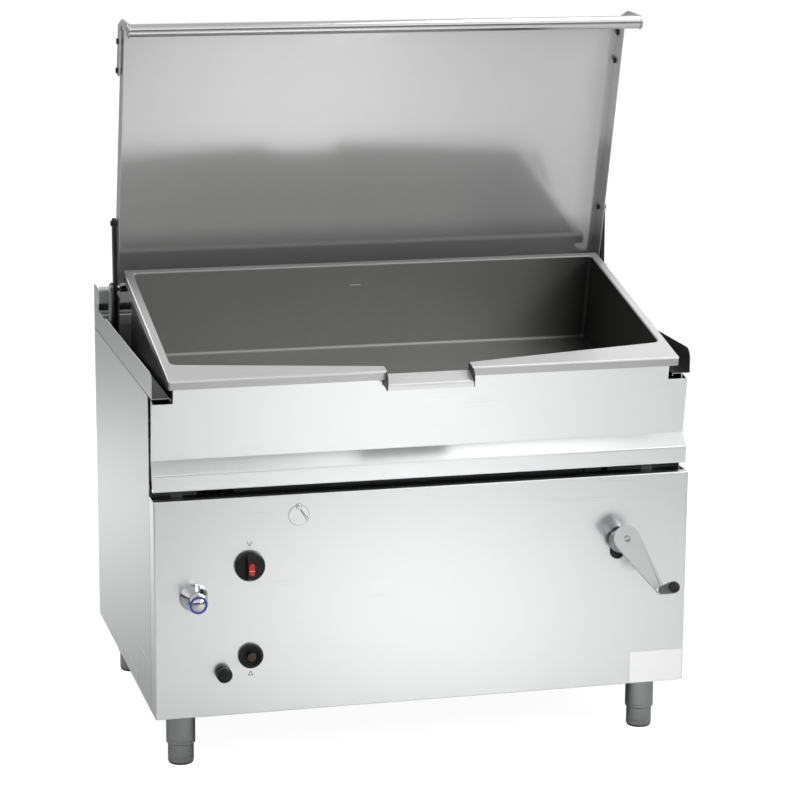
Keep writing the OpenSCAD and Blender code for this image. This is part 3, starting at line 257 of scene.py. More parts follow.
def broken_edges(node, fold, cut=0.4):
    """A merged copy of a solid whose folds are marked for rounding, and its cut edges for breaking."""
    bm = bmesh.new()
    bm.from_mesh(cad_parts[node].data)
    bmesh.ops.remove_doubles(bm, verts=bm.verts, dist=0.01 * MM)
    bmesh.ops.dissolve_limit(bm, angle_limit=math.radians(1), verts=bm.verts, edges=bm.edges)
    bmesh.ops.connect_verts_concave(bm, faces=bm.faces)
    weight = bm.edges.layers.float.new("bevel_weight_edge")
    least_turn, least_flange = 25, 6.0
    for edge in bm.edges:
        if len(edge.link_faces) != 2:
            continue
        turn = math.degrees(edge.calc_face_angle_signed(0))
        if abs(turn) < least_turn:
            continue
        width = min(width_across(face, edge) for face in edge.link_faces)
        is_fold = turn > 0 and width > least_flange * MM
        edge[weight] = 1.0 if is_fold else cut / fold
    return bm


def put(bm, name, body, material, nodes=(), place=None, fold=0.0, edge=0.0):
    """Sets a finished mesh in the frame as a piece of that body, in place of its solids."""
    if place is not None:
        bm.transform(place)
    mesh = bpy.data.meshes.new(name)
    bm.to_mesh(mesh)
    bm.free()
    for finish in material if isinstance(material, list) else [material]:
        mesh.materials.append(finish)
    mesh.shade_smooth()
    mesh.set_sharp_from_angle(angle=math.radians(32))
    piece = bpy.data.objects.new(name, mesh)
    bpy.context.collection.objects.link(piece)
    if fold or edge:
        rounding = piece.modifiers.new("edges", "BEVEL")
        rounding.width = (fold or edge) * MM
        rounding.segments = 3
        rounding.limit_method = "WEIGHT" if fold else "ANGLE"
        rounding.angle_limit = math.radians(28)
        rounding.use_clamp_overlap = False
    level = piece.modifiers.new("level faces", "WEIGHTED_NORMAL")
    level.weight = 100
    level.keep_sharp = True
    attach(piece, body)
    if nodes:
        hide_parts(*nodes)
    return piece


def folded(node, body, material, fold=2.2, cut=0.4):
    """The solid of that name with its folds rounded and its cut edges broken."""
    put(broken_edges(node, fold, cut), node + "_sheet", body, material, [node], fold=fold)


across = (1.6, 420, 420)
along = (420, 1.6, 420)
front_steel = ground_metal("front steel", (0.86, 0.87, 0.87), 0.28, across, depth=0.000005, spread=0.01)
side_steel = ground_metal("side steel", (0.78, 0.79, 0.79), 0.34, along, depth=0.000015, spread=0.02)
back_steel = ground_metal("back steel", (0.62, 0.63, 0.63), 0.38, across)
folded("front_panel", "cabinet", front_steel)


# Side sheets. Each hangs between the frame and the rail over it, and a near-black strip in the gap under the
# rail is painted shadow for the joint; a hatch in the left one lets a hand in to the gas tap.
seam, seam_t = 1.9 * MM, 1.46 * MM
# Painted shadow: the near-black strip draws the joint under each rail as a dark line.
joint_painted_shadow = ground_metal("painted joint shadow", (0.02, 0.02, 0.02), 0.7, fine_all, metal=0.0, spread=0.3)
for side_name in ("left", "right"):
    side_node = side_name + "_side_panel"
    panel = broken_edges(side_node, 2.2, cut=0.12)
    panel_low, panel_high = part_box(side_node)
    for vert in panel.verts:
        if vert.co.z > panel_high.z - 0.1 * MM:
            vert.co.z -= seam
    put(panel, side_node + "_sheet", "cabinet", side_steel, [side_node], fold=2.2)
    joint = bmesh.new()
    bmesh.ops.create_cube(joint, size=1)
    bmesh.ops.scale(joint, vec=(seam_t, panel_high.y - panel_low.y, seam), verts=joint.verts)
    middle = (panel_low + panel_high) / 2
    bmesh.ops.translate(joint, vec=(middle.x, middle.y, panel_high.z - seam / 2), verts=joint.verts)
    put(joint, side_name + "_joint", "cabinet", joint_painted_shadow)
folded("access_cover", "cabinet", side_steel)
folded("rear_panel", "cabinet", back_steel)


# Rating and instruction plates. Two thin pale plates are stuck on, and carry nothing.
plate_face = ground_metal("bare plate", (0.80, 0.81, 0.84), 0.45, across, metal=0.0, spread=0.02)
white_plate = ground_metal("white plate", (0.90, 0.90, 0.90), 0.45, across, metal=0.0, spread=0.01)
plate_painted_outline = ground_metal("painted plate outline", (0.30, 0.30, 0.31), 0.5, fine_all, metal=0.0)
# Painted shade: the front plate's edges are dark grey, drawing its outline.
plates = broken_edges("blank_plates", 0.5, 0.3)
for face in plates.faces:
    if face.calc_center_median().x > 0:
        face.material_index = 1 if abs(face.normal.y) > 0.9 else 2
put(plates, "plates", "cabinet", [plate_face, white_plate, plate_painted_outline], ["blank_plates"],
    fold=0.5)


# Louvres. Each slot in the rear panel has a hood pressed out over it, which keeps spills out
# and lets the warm air go up.
cabinet_depth = 812
louvre_width = 180
louvre_pitch = 22
louvre_low = 560
louvre_rows = 9
louvre_centres = (-250, 250)
hood_lap, hood_rise, hood_height, hood_root = 3, 6, 13, 0.3
front_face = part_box("front_panel")[0].y
own_place = Matrix.Translation((0, front_face, 0)) @ Matrix.Scale(MM, 4)
hoods = bmesh.new()
for louvre_x in louvre_centres:
    for row in range(louvre_rows):
        hood = bmesh.ops.create_cube(hoods, size=1)["verts"]
        bmesh.ops.scale(hoods, vec=(louvre_width + 2 * hood_lap, 2 * hood_rise, hood_height), verts=hood)
        middle_z = louvre_low + row * louvre_pitch + hood_height / 2
        bmesh.ops.translate(hoods, vec=(louvre_x, cabinet_depth, middle_z), verts=hood)
        for vert in hood:
            if vert.co.z > middle_z:
                vert.co.y = min(vert.co.y, cabinet_depth + hood_root)
put(hoods, "louvre_hoods", "cabinet", back_steel, place=own_place, edge=2.4)


# Rails, deck and flue. Folded upstands close the cabinet's top on both sides, a deck joins them
# behind the pan, and the flue cap folds over the hot gas slot at the back.
rail_steel = ground_metal("rail steel", (0.66, 0.67, 0.67), 0.30, along, depth=0.000015, spread=0.02)
# Painted shade: the rails' inner faces beside the pan are near black, standing for the shade in the gutters.
rail_inner_painted_shade = ground_metal("rail inner painted shade", (0.07, 0.07, 0.07), 0.45, along, spread=0.1)
rail_inner, rail_upper = 0.5984, 0.889
rails = broken_edges("side_rails", 2.2, cut=0.2)
for face in rails.faces:
    middle = face.calc_center_median()
    if abs(middle.x) < rail_inner and middle.z < rail_upper and abs(face.normal.y) < 0.9:
        face.material_index = 1
put(rails, "side_rails_sheet", "cabinet", [rail_steel, rail_inner_painted_shade], ["side_rails"],
    fold=2.2)
folded("rear_deck", "cabinet", rail_steel)
folded("flue_body", "cabinet", rail_steel)
folded("flue_cap", "cabinet", front_steel, fold=2.5)


# Feet. A turned sleeve is welded under each corner, and a threaded stem with a rubber pad screws
# out of it to level the appliance.
def turned(profile, place=None, steps=56):
    """A turned shape: an outline of (radius, height) points spun round Z, then set in place."""
    bm = bmesh.new()
    points = [bm.verts.new((radius, 0, height)) for radius, height in profile]
    lines = [bm.edges.new(pair) for pair in zip(points, points[1:])]
    bmesh.ops.spin(bm, geom=points + lines, cent=(0, 0, 0), axis=(0, 0, 1), angle=2 * math.pi,
                   steps=steps, use_merge=True)
    bmesh.ops.remove_doubles(bm, verts=bm.verts, dist=0.002)
    bmesh.ops.recalc_face_normals(bm, faces=bm.faces)
    if place is not None:
        bm.transform(place)
    return bm


def joined(*parts):
    """Several meshes as one."""
    whole = bmesh.new()
    for part in parts:
        mesh = bpy.data.meshes.new("part")
        part.to_mesh(mesh)
        part.free()
        whole.from_mesh(mesh)
        bpy.data.meshes.remove(mesh)
    return whole


foot_metal = ground_metal("turned foot steel", (0.34, 0.35, 0.35), 0.34, (160, 160, 420), spread=0.12)
rubber = ground_metal("foot rubber", (0.018, 0.018, 0.018), 0.75, fine_all, metal=0.0, spread=0.3)
foot_x = 531
foot_depths = {"front": 92, "rear": 761}
rod_bore = 12.3
sleeve_r, sleeve_foot, sleeve_top = 32, 46, 130
sleeve_outline = [(rod_bore, sleeve_foot), (30.6, sleeve_foot), (sleeve_r, 47.4), (sleeve_r, 53), (31.5, 53.4),
                  (31.5, 54.2), (sleeve_r, 54.6), (sleeve_r, 124), (33, 127), (33, sleeve_top),
                  (rod_bore, sleeve_top), (rod_bore, sleeve_foot)]
stem_outline = [(0, 4), (27.6, 4), (28.5, 5), (28.5, 15.5), (27.9, 16), (27.9, 17), (28.5, 17.5),
                (28.5, 44.4), (27.2, 45.9), (12, 45.9), (12, 107), (11, 108), (0, 108)]
pad_outline = [(0, 0), (26, 0), (27, 1), (27, 4), (0, 4)]
sleeves = []
for side, side_name in ((-1, "left"), (1, "right")):
    for end, depth in foot_depths.items():
        foot_place = Matrix.Translation((side * foot_x, depth, 0))
        sleeves.append(turned(sleeve_outline, foot_place))
        body = f"foot_{end}_{side_name}"
        put(turned(stem_outline, foot_place), f"stem_{end}_{side_name}", body, foot_metal,
            [f"foot_stem_{end}_{side_name}"], own_place)
        put(turned(pad_outline, foot_place), f"pad_{end}_{side_name}", body, rubber,
            [f"foot_pad_{end}_{side_name}"], own_place)
put(joined(*sleeves), "sleeves", "cabinet", foot_metal, ["foot_sleeves"], own_place)


# Gas and water inside. Brass pipes lead from the back to the valve, the tap and the burners,
# whose slotted tubes lie in a pressed tray under the pan.
brass = ground_metal("aged brass", (0.34, 0.25, 0.12), 0.38, fine_all, spread=0.12, cloud=14)
burnt_steel = ground_metal("burner steel", (0.10, 0.09, 0.085), 0.55, fine_all, spread=0.3, cloud=22)
finish_nodes(brass, "gas_valve", "gas_pipe", "gas_manifold", "water_pipe")
finish_nodes(burnt_steel, "burner_tubes")
finish_nodes(hidden_steel, "burner_tray")


# Gas knob. It is one moulding in black plastic with a raised grip that slopes down at its top,
# and a red insert with a white line shows where it points.
def moulded(name, colour, roughness):
    """Moulded plastic with the fine spark-eroded skin of its tool."""
    material = bpy.data.materials.new(name)
    material.use_nodes = True
    tree = material.node_tree
    shader = tree.nodes["Principled BSDF"]
    shader.inputs["Base Color"].default_value = (*colour, 1)
    shader.inputs["Specular IOR Level"].default_value = 0.28
    place = tree.nodes.new("ShaderNodeTexCoord").outputs["Object"]
    skin = node_chain(tree, "ShaderNodeTexNoise", Scale=1400, Detail=3.0)
    tree.links.new(place, skin.inputs["Vector"])
    swing = 0.06
    rough = ramp(tree, skin.outputs["Fac"], roughness - swing, roughness + swing)
    tree.links.new(rough, shader.inputs["Roughness"])
    grainy = node_chain(tree, "ShaderNodeBump", Strength=0.5, Distance=0.00003)
    tree.links.new(skin.outputs["Fac"], grainy.inputs["Height"])
    tree.links.new(grainy.outputs[0], shader.inputs["Normal"])
    return material


def on_front(x, z, out=0.0):
    """Local Z points out of the front panel, and local Y up."""
    return Matrix.Translation((x, -out, z)) @ Matrix.Rotation(math.pi / 2, 4, "X")


def slab(outline, thickness, place=None):
    """A flat outline in X and Y, given its thickness along Z."""
    bm = bmesh.new()
    face = bm.faces.new([bm.verts.new((x, y, 0)) for x, y in outline])
    grown = bmesh.ops.extrude_face_region(bm, geom=[face])["geom"]
    tops = [item for item in grown if isinstance(item, bmesh.types.BMVert)]
    bmesh.ops.translate(bm, vec=(0, 0, thickness), verts=tops)
    bmesh.ops.recalc_face_normals(bm, faces=bm.faces)
    if place is not None:
        bm.transform(place)
    return bm


def arc(centre, radius, start, end, steps=8):
    """Points on a circle between two angles in degrees."""
    turn = [math.radians(start + (end - start) * step / steps) for step in range(steps + 1)]
    return [(centre[0] + radius * math.cos(a), centre[1] + radius * math.sin(a)) for a in turn]


black_plastic = moulded("black plastic", (0.009, 0.009, 0.010), 0.34)
red_plastic = moulded("red plastic", (0.72, 0.03, 0.015), 0.3)
white_line = moulded("white line", (0.85, 0.82, 0.8), 0.4)
gas_x, gas_z = -393.4, 463.3
grip_half = 9
grip_out = 28
gas_place = on_front(gas_x, gas_z)
knob_disc = turned([(0, 10), (5.2, 10), (5.2, 1), (32.2, 1), (33, 2), (33, 8), (31, 12), (28, 13), (0, 13)],
                   gas_place, 72)
grip_side = [(-29.5, 11), (-29, 18), (-25, 26), (-22, grip_out), (13, grip_out), (16, 26.5),
             (28, 15), (31.5, 11)]
grip_turn = Matrix(((0, 0, 1, -grip_half), (1, 0, 0, 0), (0, 1, 0, 0), (0, 0, 0, 1)))
knob_grip = slab(grip_side, 2 * grip_half, gas_place @ grip_turn)
put(joined(knob_disc, knob_grip), "gas_dial", "gas_knob", black_plastic, ["gas_knob"],
    own_place, edge=1.2)
pill_half = 6
pill_reach = 7.5
pill = arc((0, pill_reach - 2), pill_half, 0, 180) + arc((0, -pill_reach - 2), pill_half, 180, 360)
insert_place = on_front(gas_x, gas_z, grip_out)
put(slab(pill, 0.6, insert_place), "dial_insert", "gas_knob", red_plastic, ["knob_mark"], own_place)
line_outline = [(-pill_half, -5.1), (pill_half, -5.1), (pill_half, -4.1), (-pill_half, -4.1)]
put(slab(line_outline, 0.7, insert_place), "dial_line", "gas_knob", white_line, (), own_place)


# Push ring and igniter. The black ring is clamped to the panel round a sprung shaft that holds the
# flame open, and the domed button beside it strikes the spark.
ring_x, ring_z = -392.6, 262.1
ring_outline = [(9.5, 0), (9.5, 3), (14.5, 3), (15.5, 6.5), (18.4, 6.5), (19, 8), (20, 10), (25.3, 10),
                (27.3, 7.5), (27.3, 0), (9.5, 0)]
igniter_x, igniter_z = -453, 227
bezel_outline = [(8.2, 0), (8.2, 5), (15.5, 5), (17, 3.5), (17, 0), (8.2, 0)]
put(joined(turned(ring_outline, on_front(ring_x, ring_z), 72),
           turned([(9.5, 0), (12, 0), (12, -14), (9.5, -14), (9.5, 0)], on_front(ring_x, ring_z)),
           turned(bezel_outline, on_front(igniter_x, igniter_z), 64),
           turned([(8.2, 0), (12, 0), (12, -14), (8.2, -14), (8.2, 0)], on_front(igniter_x, igniter_z))),
    "bezels", "cabinet", black_plastic, ["control_bezels"], own_place, edge=0.5)
worn_red = moulded("faded red", (0.09, 0.028, 0.02), 0.5)
shaft_steel = ground_metal("blackened shaft", (0.05, 0.05, 0.05), 0.4, fine_all, spread=0.25, metal=0.6)
ring_place = on_front(ring_x, ring_z)
put(turned([(0, -16), (9.3, -16), (9.3, 16.8), (8, 18), (6.2, 18), (5.6, 17.4), (0, 17.4)], ring_place),
    "hold_shaft", "ring_button", shaft_steel, ["ring_button"], own_place)
put(turned([(0, 17.35), (5.4, 17.35), (5.2, 17.7), (0, 17.8)], ring_place), "hold_dot", "ring_button",
    worn_red, (), own_place)
dome = [(17, 14.5)] + [(17 * math.cos(a), 20 + 5 * math.sin(a)) for a in
                       (math.radians(step) for step in range(0, 90, 15))] + [(0, 25)]
put(turned([(0, -16), (8, -16), (8, 11), (15.6, 11), (17, 12.4)] + dome, on_front(igniter_x, igniter_z), 64),
    "spark_button", "igniter_button", black_plastic, ["igniter_button"], own_place)


# Water tap. A chromed bell covers the hole in the panel, and the round handle has shallow finger
# flutes, a blue ring for cold water and a domed cap.
chrome = ground_metal("chrome plate", (0.62, 0.63, 0.65), 0.08, (60, 60, 60), depth=0.000004, spread=0.02,
                      cloud=9)
tap_x, tap_z = -516, 401
tap_place = on_front(tap_x, tap_z)
bell = [(12.2, 0), (31, 0), (31, 2.2), (30, 4), (26.5, 9), (21, 15.5), (17, 20), (15, 24), (12.2, 24),
        (12.2, 0)]
put(turned(bell, tap_place, 72), "tap_bell", "cabinet", chrome, ["tap_escutcheon"], own_place,
    edge=0.6)
put(broken_edges("tap_body", 0.8), "tap_barrel", "cabinet", chrome, ["tap_body"], fold=0.8)
handle = turned([(5.2, 54), (5.2, 30), (15, 30), (18, 33), (20.5, 38), (22.5, 42), (22.5, 52), (21.5, 56),
                 (20, 59), (19, 60), (15, 60), (14, 61.5), (10, 63.5), (5, 64.6), (0, 65)], None, 96)
flutes, flute_depth = 8, 0.055
flute_inner, flute_top = 19.5, 57
for vert in handle.verts:
    radius = math.hypot(vert.co.x, vert.co.y)
    if flute_inner < radius and vert.co.z < flute_top:
        swell = 1 - flute_depth * (0.5 - 0.5 * math.cos(flutes * math.atan2(vert.co.y, vert.co.x)))
        vert.co.x *= swell
        vert.co.y *= swell
handle.transform(tap_place)
put(handle, "tap_wheel", "tap_handle", chrome, ["tap_knob"], own_place)
blue_ring = moulded("blue ring", (0.055, 0.07, 0.42), 0.22)
put(turned([(15.4, 59.6), (15.4, 60.8), (16, 61.4), (18.2, 61.4), (19.2, 60.4), (19.2, 59.6), (15.4, 59.6)],
           tap_place, 72),
    "tap_band", "tap_handle", blue_ring, ["tap_ring"], own_place)


# Inspection disc. A thin plate hangs on one screw and swings off the hole through which the
# flame is watched.
bright_steel = ground_metal("bright steel", (0.74, 0.75, 0.76), 0.24, fine_all, spread=0.05, cloud=12)
disc_painted_outline = ground_metal("painted disc outline", (0.16, 0.16, 0.16), 0.45, fine_all, spread=0.1)
disc = bmesh.new()
disc.from_mesh(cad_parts["inspection_disc"].data)
bmesh.ops.remove_doubles(disc, verts=disc.verts, dist=0.01 * MM)
bmesh.ops.dissolve_limit(disc, angle_limit=math.radians(1), verts=disc.verts, edges=disc.edges)
disc_front = min(vert.co.y for vert in disc.verts)
outline = [edge for edge in disc.edges if all(vert.co.y < disc_front + 0.01 * MM for vert in edge.verts)]
# Painted shade: a near-black chamfer round the disc's front face draws its outline as a dark line.
bmesh.ops.bevel(disc, geom=outline, offset=0.7 * MM, offset_type="OFFSET", segments=1, profile=0.5,
                affect="EDGES", material=1)
put(disc, "hung_disc", "inspection_disc", [front_steel, disc_painted_outline], ["inspection_disc"])
disc_x, disc_z = -285, 587.5
screw_head = turned([(0, -6.6), (2, -6.6), (2, 1.85), (6.6, 1.85), (6.6, 2.6), (5.4, 3.8), (3, 4.25), (0, 4.3)],
                    on_front(disc_x, disc_z))
put(screw_head, "disc_head", "cabinet", bright_steel, ["disc_screw"], own_place)


# Printed pointers. An open wedge over the gas knob and a small triangle under the ring show where
# each control is read; they are thin lines of grey ink.
ink = moulded("grey ink", (0.13, 0.13, 0.14), 0.6)
ink_t = 0.12


def stroke(start, end, width):
    """A straight inked line between two points."""
    run = Vector(end) - Vector(start)
    side = Vector((-run.y, run.x)).normalized() * width / 2
    corners = [Vector(start) - side, Vector(end) - side, Vector(end) + side, Vector(start) + side]
    return slab([(corner.x, corner.y) for corner in corners], ink_t)


pointer_w = 1.5
wedge = [(-5.2, 5), (0, -5), (5.2, 5)]
wedge_lines = [stroke(a, b, pointer_w) for a, b in zip(wedge, wedge[1:])]
triangle = [(-5, -4.4), (5, -4.4), (0, 5), (-5, -4.4)]
triangle_lines = [stroke(a, b, pointer_w) for a, b in zip(triangle, triangle[1:])]
for line in wedge_lines:
    line.transform(on_front(gas_x, 511.6))
for line in triangle_lines:
    line.transform(on_front(ring_x, 222))
put(joined(*wedge_lines, *triangle_lines), "pointers", "cabinet", ink, (), own_place)


# Tilting pivots. A folded bracket stands on the frame at each end of the front, and a turned steel
# pin goes through it and through the pan's lug.
dark_steel = ground_metal("blackened steel", (0.055, 0.055, 0.057), 0.42, fine_all, spread=0.25, metal=0.8)
folded("pivot_brackets", "cabinet", rail_steel, fold=1.2)
folded("pivot_pins", "cabinet", bright_steel, fold=0.8, cut=0.6)


# Tilting screw and linkage. The crank turns a long screw in two bearings; its brass nut draws a
# pair of link bars, and they push the pan up from below.
finish_nodes(bright_steel, "link_pin")
folded("push_link", "link", hidden_steel, fold=0.8)
folded("screw_nut", "nut", brass, fold=1.0)
finish_nodes(brass, "pivot_bushes")
finish_nodes(black_plastic, "hinge_washers")
folded("tilt_screw", "crank", dark_steel, fold=0.6, cut=0.6)


# Crank. A tapered steel plate is fixed to the hub with a countersunk screw, and its black grip
# spins on a pin behind a bright ferrule.
upright = (420, 420, 1.6)
arm_steel = ground_metal("crank plate", (0.42, 0.43, 0.43), 0.36, upright, depth=0.00002, spread=0.04)
folded("crank_arm", "crank", arm_steel, fold=0.7, cut=0.6)
hub_steel = ground_metal("crank hub steel", (0.26, 0.26, 0.27), 0.38, fine_all, spread=0.05)
folded("crank_hub", "crank", hub_steel, fold=0.8, cut=0.8)
crank_x, screw_z = 438.6, 463
screw_slope = math.radians(21)
arm_turn = math.radians(29.6)
arm_len = 136
head_out = 64.3 + 3
screw_place = Matrix.Translation((crank_x, 0, screw_z)) @ Matrix.Rotation(-screw_slope, 4, "X")
arm_place = screw_place @ Matrix.Rotation(-arm_turn, 4, "Y") @ Matrix.Rotation(math.pi / 2, 4, "X")
cap_screw = turned([(7.8, -0.4), (7.8, 0.15), (7.2, 0.35), (6.6, 0.1), (6.4, -0.3), (5.4, 0.5), (3.4, 1.0),
                    (3.1, 0.9), (3.1, -0.2), (0, -0.2)],
                   arm_place @ Matrix.Translation((0, 0, head_out)), 48)
put(cap_screw, "crank_screw", "crank", hub_steel, (), own_place)
grip_place = arm_place @ Matrix.Translation((0, -arm_len, head_out))
ferrule = [(5, -6), (5, 0), (10, 0), (10, 1), (8.6, 1.8), (8.6, 3), (10, 3.8), (10, 5.4), (9.4, 6), (5, 6),
           (5, 86), (0, 86)]
put(turned([(0, -6)] + ferrule, grip_place, 48), "grip_spindle", "crank", bright_steel,
    ["grip_pin"], own_place)
grip_skin = [(5.2, 85), (5.2, 7), (8.4, 7), (9.2, 8), (9.6, 12), (10.4, 22), (11.6, 40), (12.7, 62), (13, 76),
             (12.8, 84), (12, 88), (10, 90.2), (6, 90.9), (0, 91)]
put(turned(grip_skin, grip_place, 56), "grip", "crank_grip", black_plastic, ["crank_grip"],
    own_place)


# Pan. The well and its flanged rim are one welded steel shell, blasted dark inside and brushed on
# the rim, with rounded corners and a spout pressed through the front.
tilt = math.radians(13)
pivot = (0, 62, 665)
pan_place = (own_place @ Matrix.Translation(pivot) @ Matrix.Rotation(tilt, 4, "X")
             @ Matrix.Translation([-value for value in pivot]))
well_side, well_rear = 548, 617
well_corner, well_front = 121, 65
rim_half, rim_front, rim_rear = 567, 35, 637
rim_top = 890
well_floor = 680
rim_skirt = 20
spout_half = 95
spout_root, spout_tip_y, spout_tip_z, spout_lip = 872, 18, 865, 13
front_corner_r, rear_corner_r, rim_corner_r, well_foot_r = 14, 9, 5, 8
rim_fold_r, spout_fold_r = 3.5, 4
shell_t = 2.4
well_finish, outer_finish, skirt_finish, cheek_finish = 1, 2, 3, 4
pan = bmesh.new()
ring_points = [(spout_half, rim_front), (rim_half, rim_front), (rim_half, rim_rear), (-rim_half, rim_rear),
               (-rim_half, rim_front), (-spout_half, rim_front), (-spout_half, well_front),
               (-well_side, well_corner), (-well_side, well_rear), (well_side, well_rear),
               (well_side, well_corner), (spout_half, well_front)]
ring_verts = [pan.verts.new((x, y, rim_top)) for x, y in ring_points]
pan.faces.new(ring_verts)
for corners, radius in ((ring_verts[8:10], rear_corner_r), ([ring_verts[7], ring_verts[10]], front_corner_r),
                        (ring_verts[1:5], rim_corner_r)):
    bmesh.ops.bevel(pan, geom=corners, offset=radius, offset_type="OFFSET", segments=6, profile=0.5,
                    affect="VERTICES", material=-1)


def inside_well(vert):
    """True for the points of the rim that lie on the well's edge."""
    return abs(vert.co.x) < well_side + 0.5 and well_front - 0.5 < vert.co.y < well_rear + 0.5


def grow(bm, edges, move):
    """Extrudes edges by a move, and gives back the new edges and faces."""
    made = bmesh.ops.extrude_edge_only(bm, edges=edges)["geom"]
    points = [item for item in made if isinstance(item, bmesh.types.BMVert)]
    bmesh.ops.translate(bm, vec=move, verts=points)
    faces = [item for item in made if isinstance(item, bmesh.types.BMFace)]
    far = [edge for edge in made if isinstance(edge, bmesh.types.BMEdge)
           and all(vert in points for vert in edge.verts)]
    return far, faces


well_edge = [edge for edge in pan.edges if all(inside_well(vert) for vert in edge.verts)]
outer_edge = [edge for edge in pan.edges if edge not in well_edge
              and not all(abs(vert.co.x) < spout_half + 0.5 for vert in edge.verts)]
wall_foot, wall_faces = grow(pan, well_edge, (0, 0, well_floor - rim_top))
skirt_faces = grow(pan, outer_edge, (0, 0, -rim_skirt))[1]
for face in skirt_faces:
    face.material_index = skirt_finish
foot_front = [vert for edge in wall_foot for vert in edge.verts
              if abs(abs(vert.co.x) - spout_half) < 0.5 and abs(vert.co.y - well_front) < 0.5]
foot_front = sorted(set(foot_front), key=lambda vert: vert.co.x)
cross = pan.edges.new(foot_front)
floor_face = bmesh.ops.contextual_create(pan, geom=wall_foot + [cross])["faces"]
to_spout, front_faces = grow(pan, [cross], (0, 0, spout_root - well_floor))
to_tip = grow(pan, to_spout, (0, spout_tip_y - well_front, spout_tip_z - spout_root))[0]
grow(pan, to_tip, (0, 0, -spout_lip))
for face in set(wall_faces + floor_face + front_faces):
    face.material_index = well_finish
bmesh.ops.remove_doubles(pan, verts=pan.verts, dist=0.01)
bmesh.ops.recalc_face_normals(pan, faces=pan.faces)
if next(face for face in pan.faces if face.calc_center_median().z > rim_top - 0.1).normal.z < 0:
    bmesh.ops.reverse_faces(pan, faces=pan.faces)


def bends(bm, level):
    """Edges at a height where the sheet turns."""
    return [edge for edge in bm.edges if len(edge.link_faces) == 2
            and abs(math.degrees(edge.calc_face_angle_signed(0))) > 25
            and all(abs(vert.co.z - level) < 0.6 for vert in edge.verts)]


bmesh.ops.bevel(pan, geom=bends(pan, well_floor), offset=well_foot_r, offset_type="OFFSET", segments=6,
                profile=0.5, affect="EDGES", material=-1)
bmesh.ops.bevel(pan, geom=bends(pan, rim_top), offset=rim_fold_r, offset_type="OFFSET", segments=4,
                profile=0.5, affect="EDGES", material=0)
bmesh.ops.bevel(pan, geom=bends(pan, spout_root) + bends(pan, spout_tip_z), offset=spout_fold_r,
                offset_type="OFFSET", segments=4, profile=0.5, affect="EDGES", material=-1)
backs = bmesh.ops.solidify(pan, geom=pan.faces[:], thickness=shell_t)["geom"]
for item in backs:
    if isinstance(item, bmesh.types.BMFace):
        item.material_index = outer_finish


def cheek_outline():
    """Side view of a spout cheek: it rounds down from the rim to the turned lip."""
    return ([(well_front + 2, rim_top - 1), (rim_front + 6, rim_top - 1)]
            + arc((rim_front + 6, rim_top - 24), 23, 90, 178, 8)
            + [(spout_tip_y, spout_tip_z - spout_lip), (well_front + 2, spout_root - 20)])


along_x = Matrix(((0, 0, 1, 0), (1, 0, 0, 0), (0, 1, 0, 0), (0, 0, 0, 1)))
cheeks = [slab(cheek_outline(), shell_t, Matrix.Translation((x, 0, 0)) @ along_x)
          for x in (-spout_half - shell_t, spout_half)]
for cheek in cheeks:
    for face in cheek.faces:
        face.material_index = cheek_finish
base_lap, base_t, base_drop = 3, 9, 12
base_half = well_side + base_lap
base_front, base_rear = well_front - base_lap, well_rear + base_lap
base_outline = [(-base_half, base_rear), (-base_half, well_corner), (-spout_half, base_front),
                (spout_half, base_front), (base_half, well_corner), (base_half, base_rear)]
base = slab(base_outline, base_t, Matrix.Translation((0, 0, well_floor - base_drop)))
for face in base.faces:
    face.material_index = outer_finish
rim_steel = ground_metal("rim steel", (0.95, 0.95, 0.95), 0.30, across, depth=0.00001, spread=0.02, metal=0.3)
skirt_steel = ground_metal("rim skirt steel", (0.50, 0.50, 0.50), 0.34, across, depth=0.00001, spread=0.02)
# Painted shade: the spout's cheeks are near black, standing for the shade inside the spout.
cheek_painted_shade = ground_metal("cheek painted shade", (0.07, 0.07, 0.07), 0.4, (60, 60, 60), spread=0.1)
# Painted shade: the pan's outer shell is dark grey, darker than the well, standing for the shade in the gutters
# beside it.
outer_steel = ground_metal("outer shell painted shade", (0.22, 0.22, 0.22), 0.4, across, spread=0.08)
well_steel = ground_metal("blasted well steel", (0.39, 0.39, 0.38), 0.42, (60, 60, 60), depth=0.00004,
                          spread=0.06, cloud=4, metal=0.6)


def painted_shade_ramp(material, axis, start, end, share):
    """Paints shade into a finish: darkens it along one axis, from its own tone at the start to a share of it at
    the end.
    """
    tree = material.node_tree
    shader = tree.nodes["Principled BSDF"]
    tone = shader.inputs["Base Color"].links[0].from_socket
    place = tree.nodes.new("ShaderNodeSeparateXYZ")
    tree.links.new(tree.nodes.new("ShaderNodeTexCoord").outputs["Object"], place.inputs[0])
    amount = tree.nodes.new("ShaderNodeMapRange")
    amount.interpolation_type = "SMOOTHSTEP"
    for socket, value in (("From Min", start), ("From Max", end), ("To Min", 1.0), ("To Max", share)):
        amount.inputs[socket].default_value = value
    tree.links.new(place.outputs[axis], amount.inputs["Value"])
    darker = tree.nodes.new("ShaderNodeVectorMath")
    darker.operation = "SCALE"
    tree.links.new(tone, darker.inputs[0])
    tree.links.new(amount.outputs["Result"], darker.inputs["Scale"])
    tree.links.new(darker.outputs[0], shader.inputs["Base Color"])


# Painted shade: the well's inside darkens towards its right end, to near black.
painted_shade_ramp(well_steel, "X", 0.36, 0.60, 0.02)
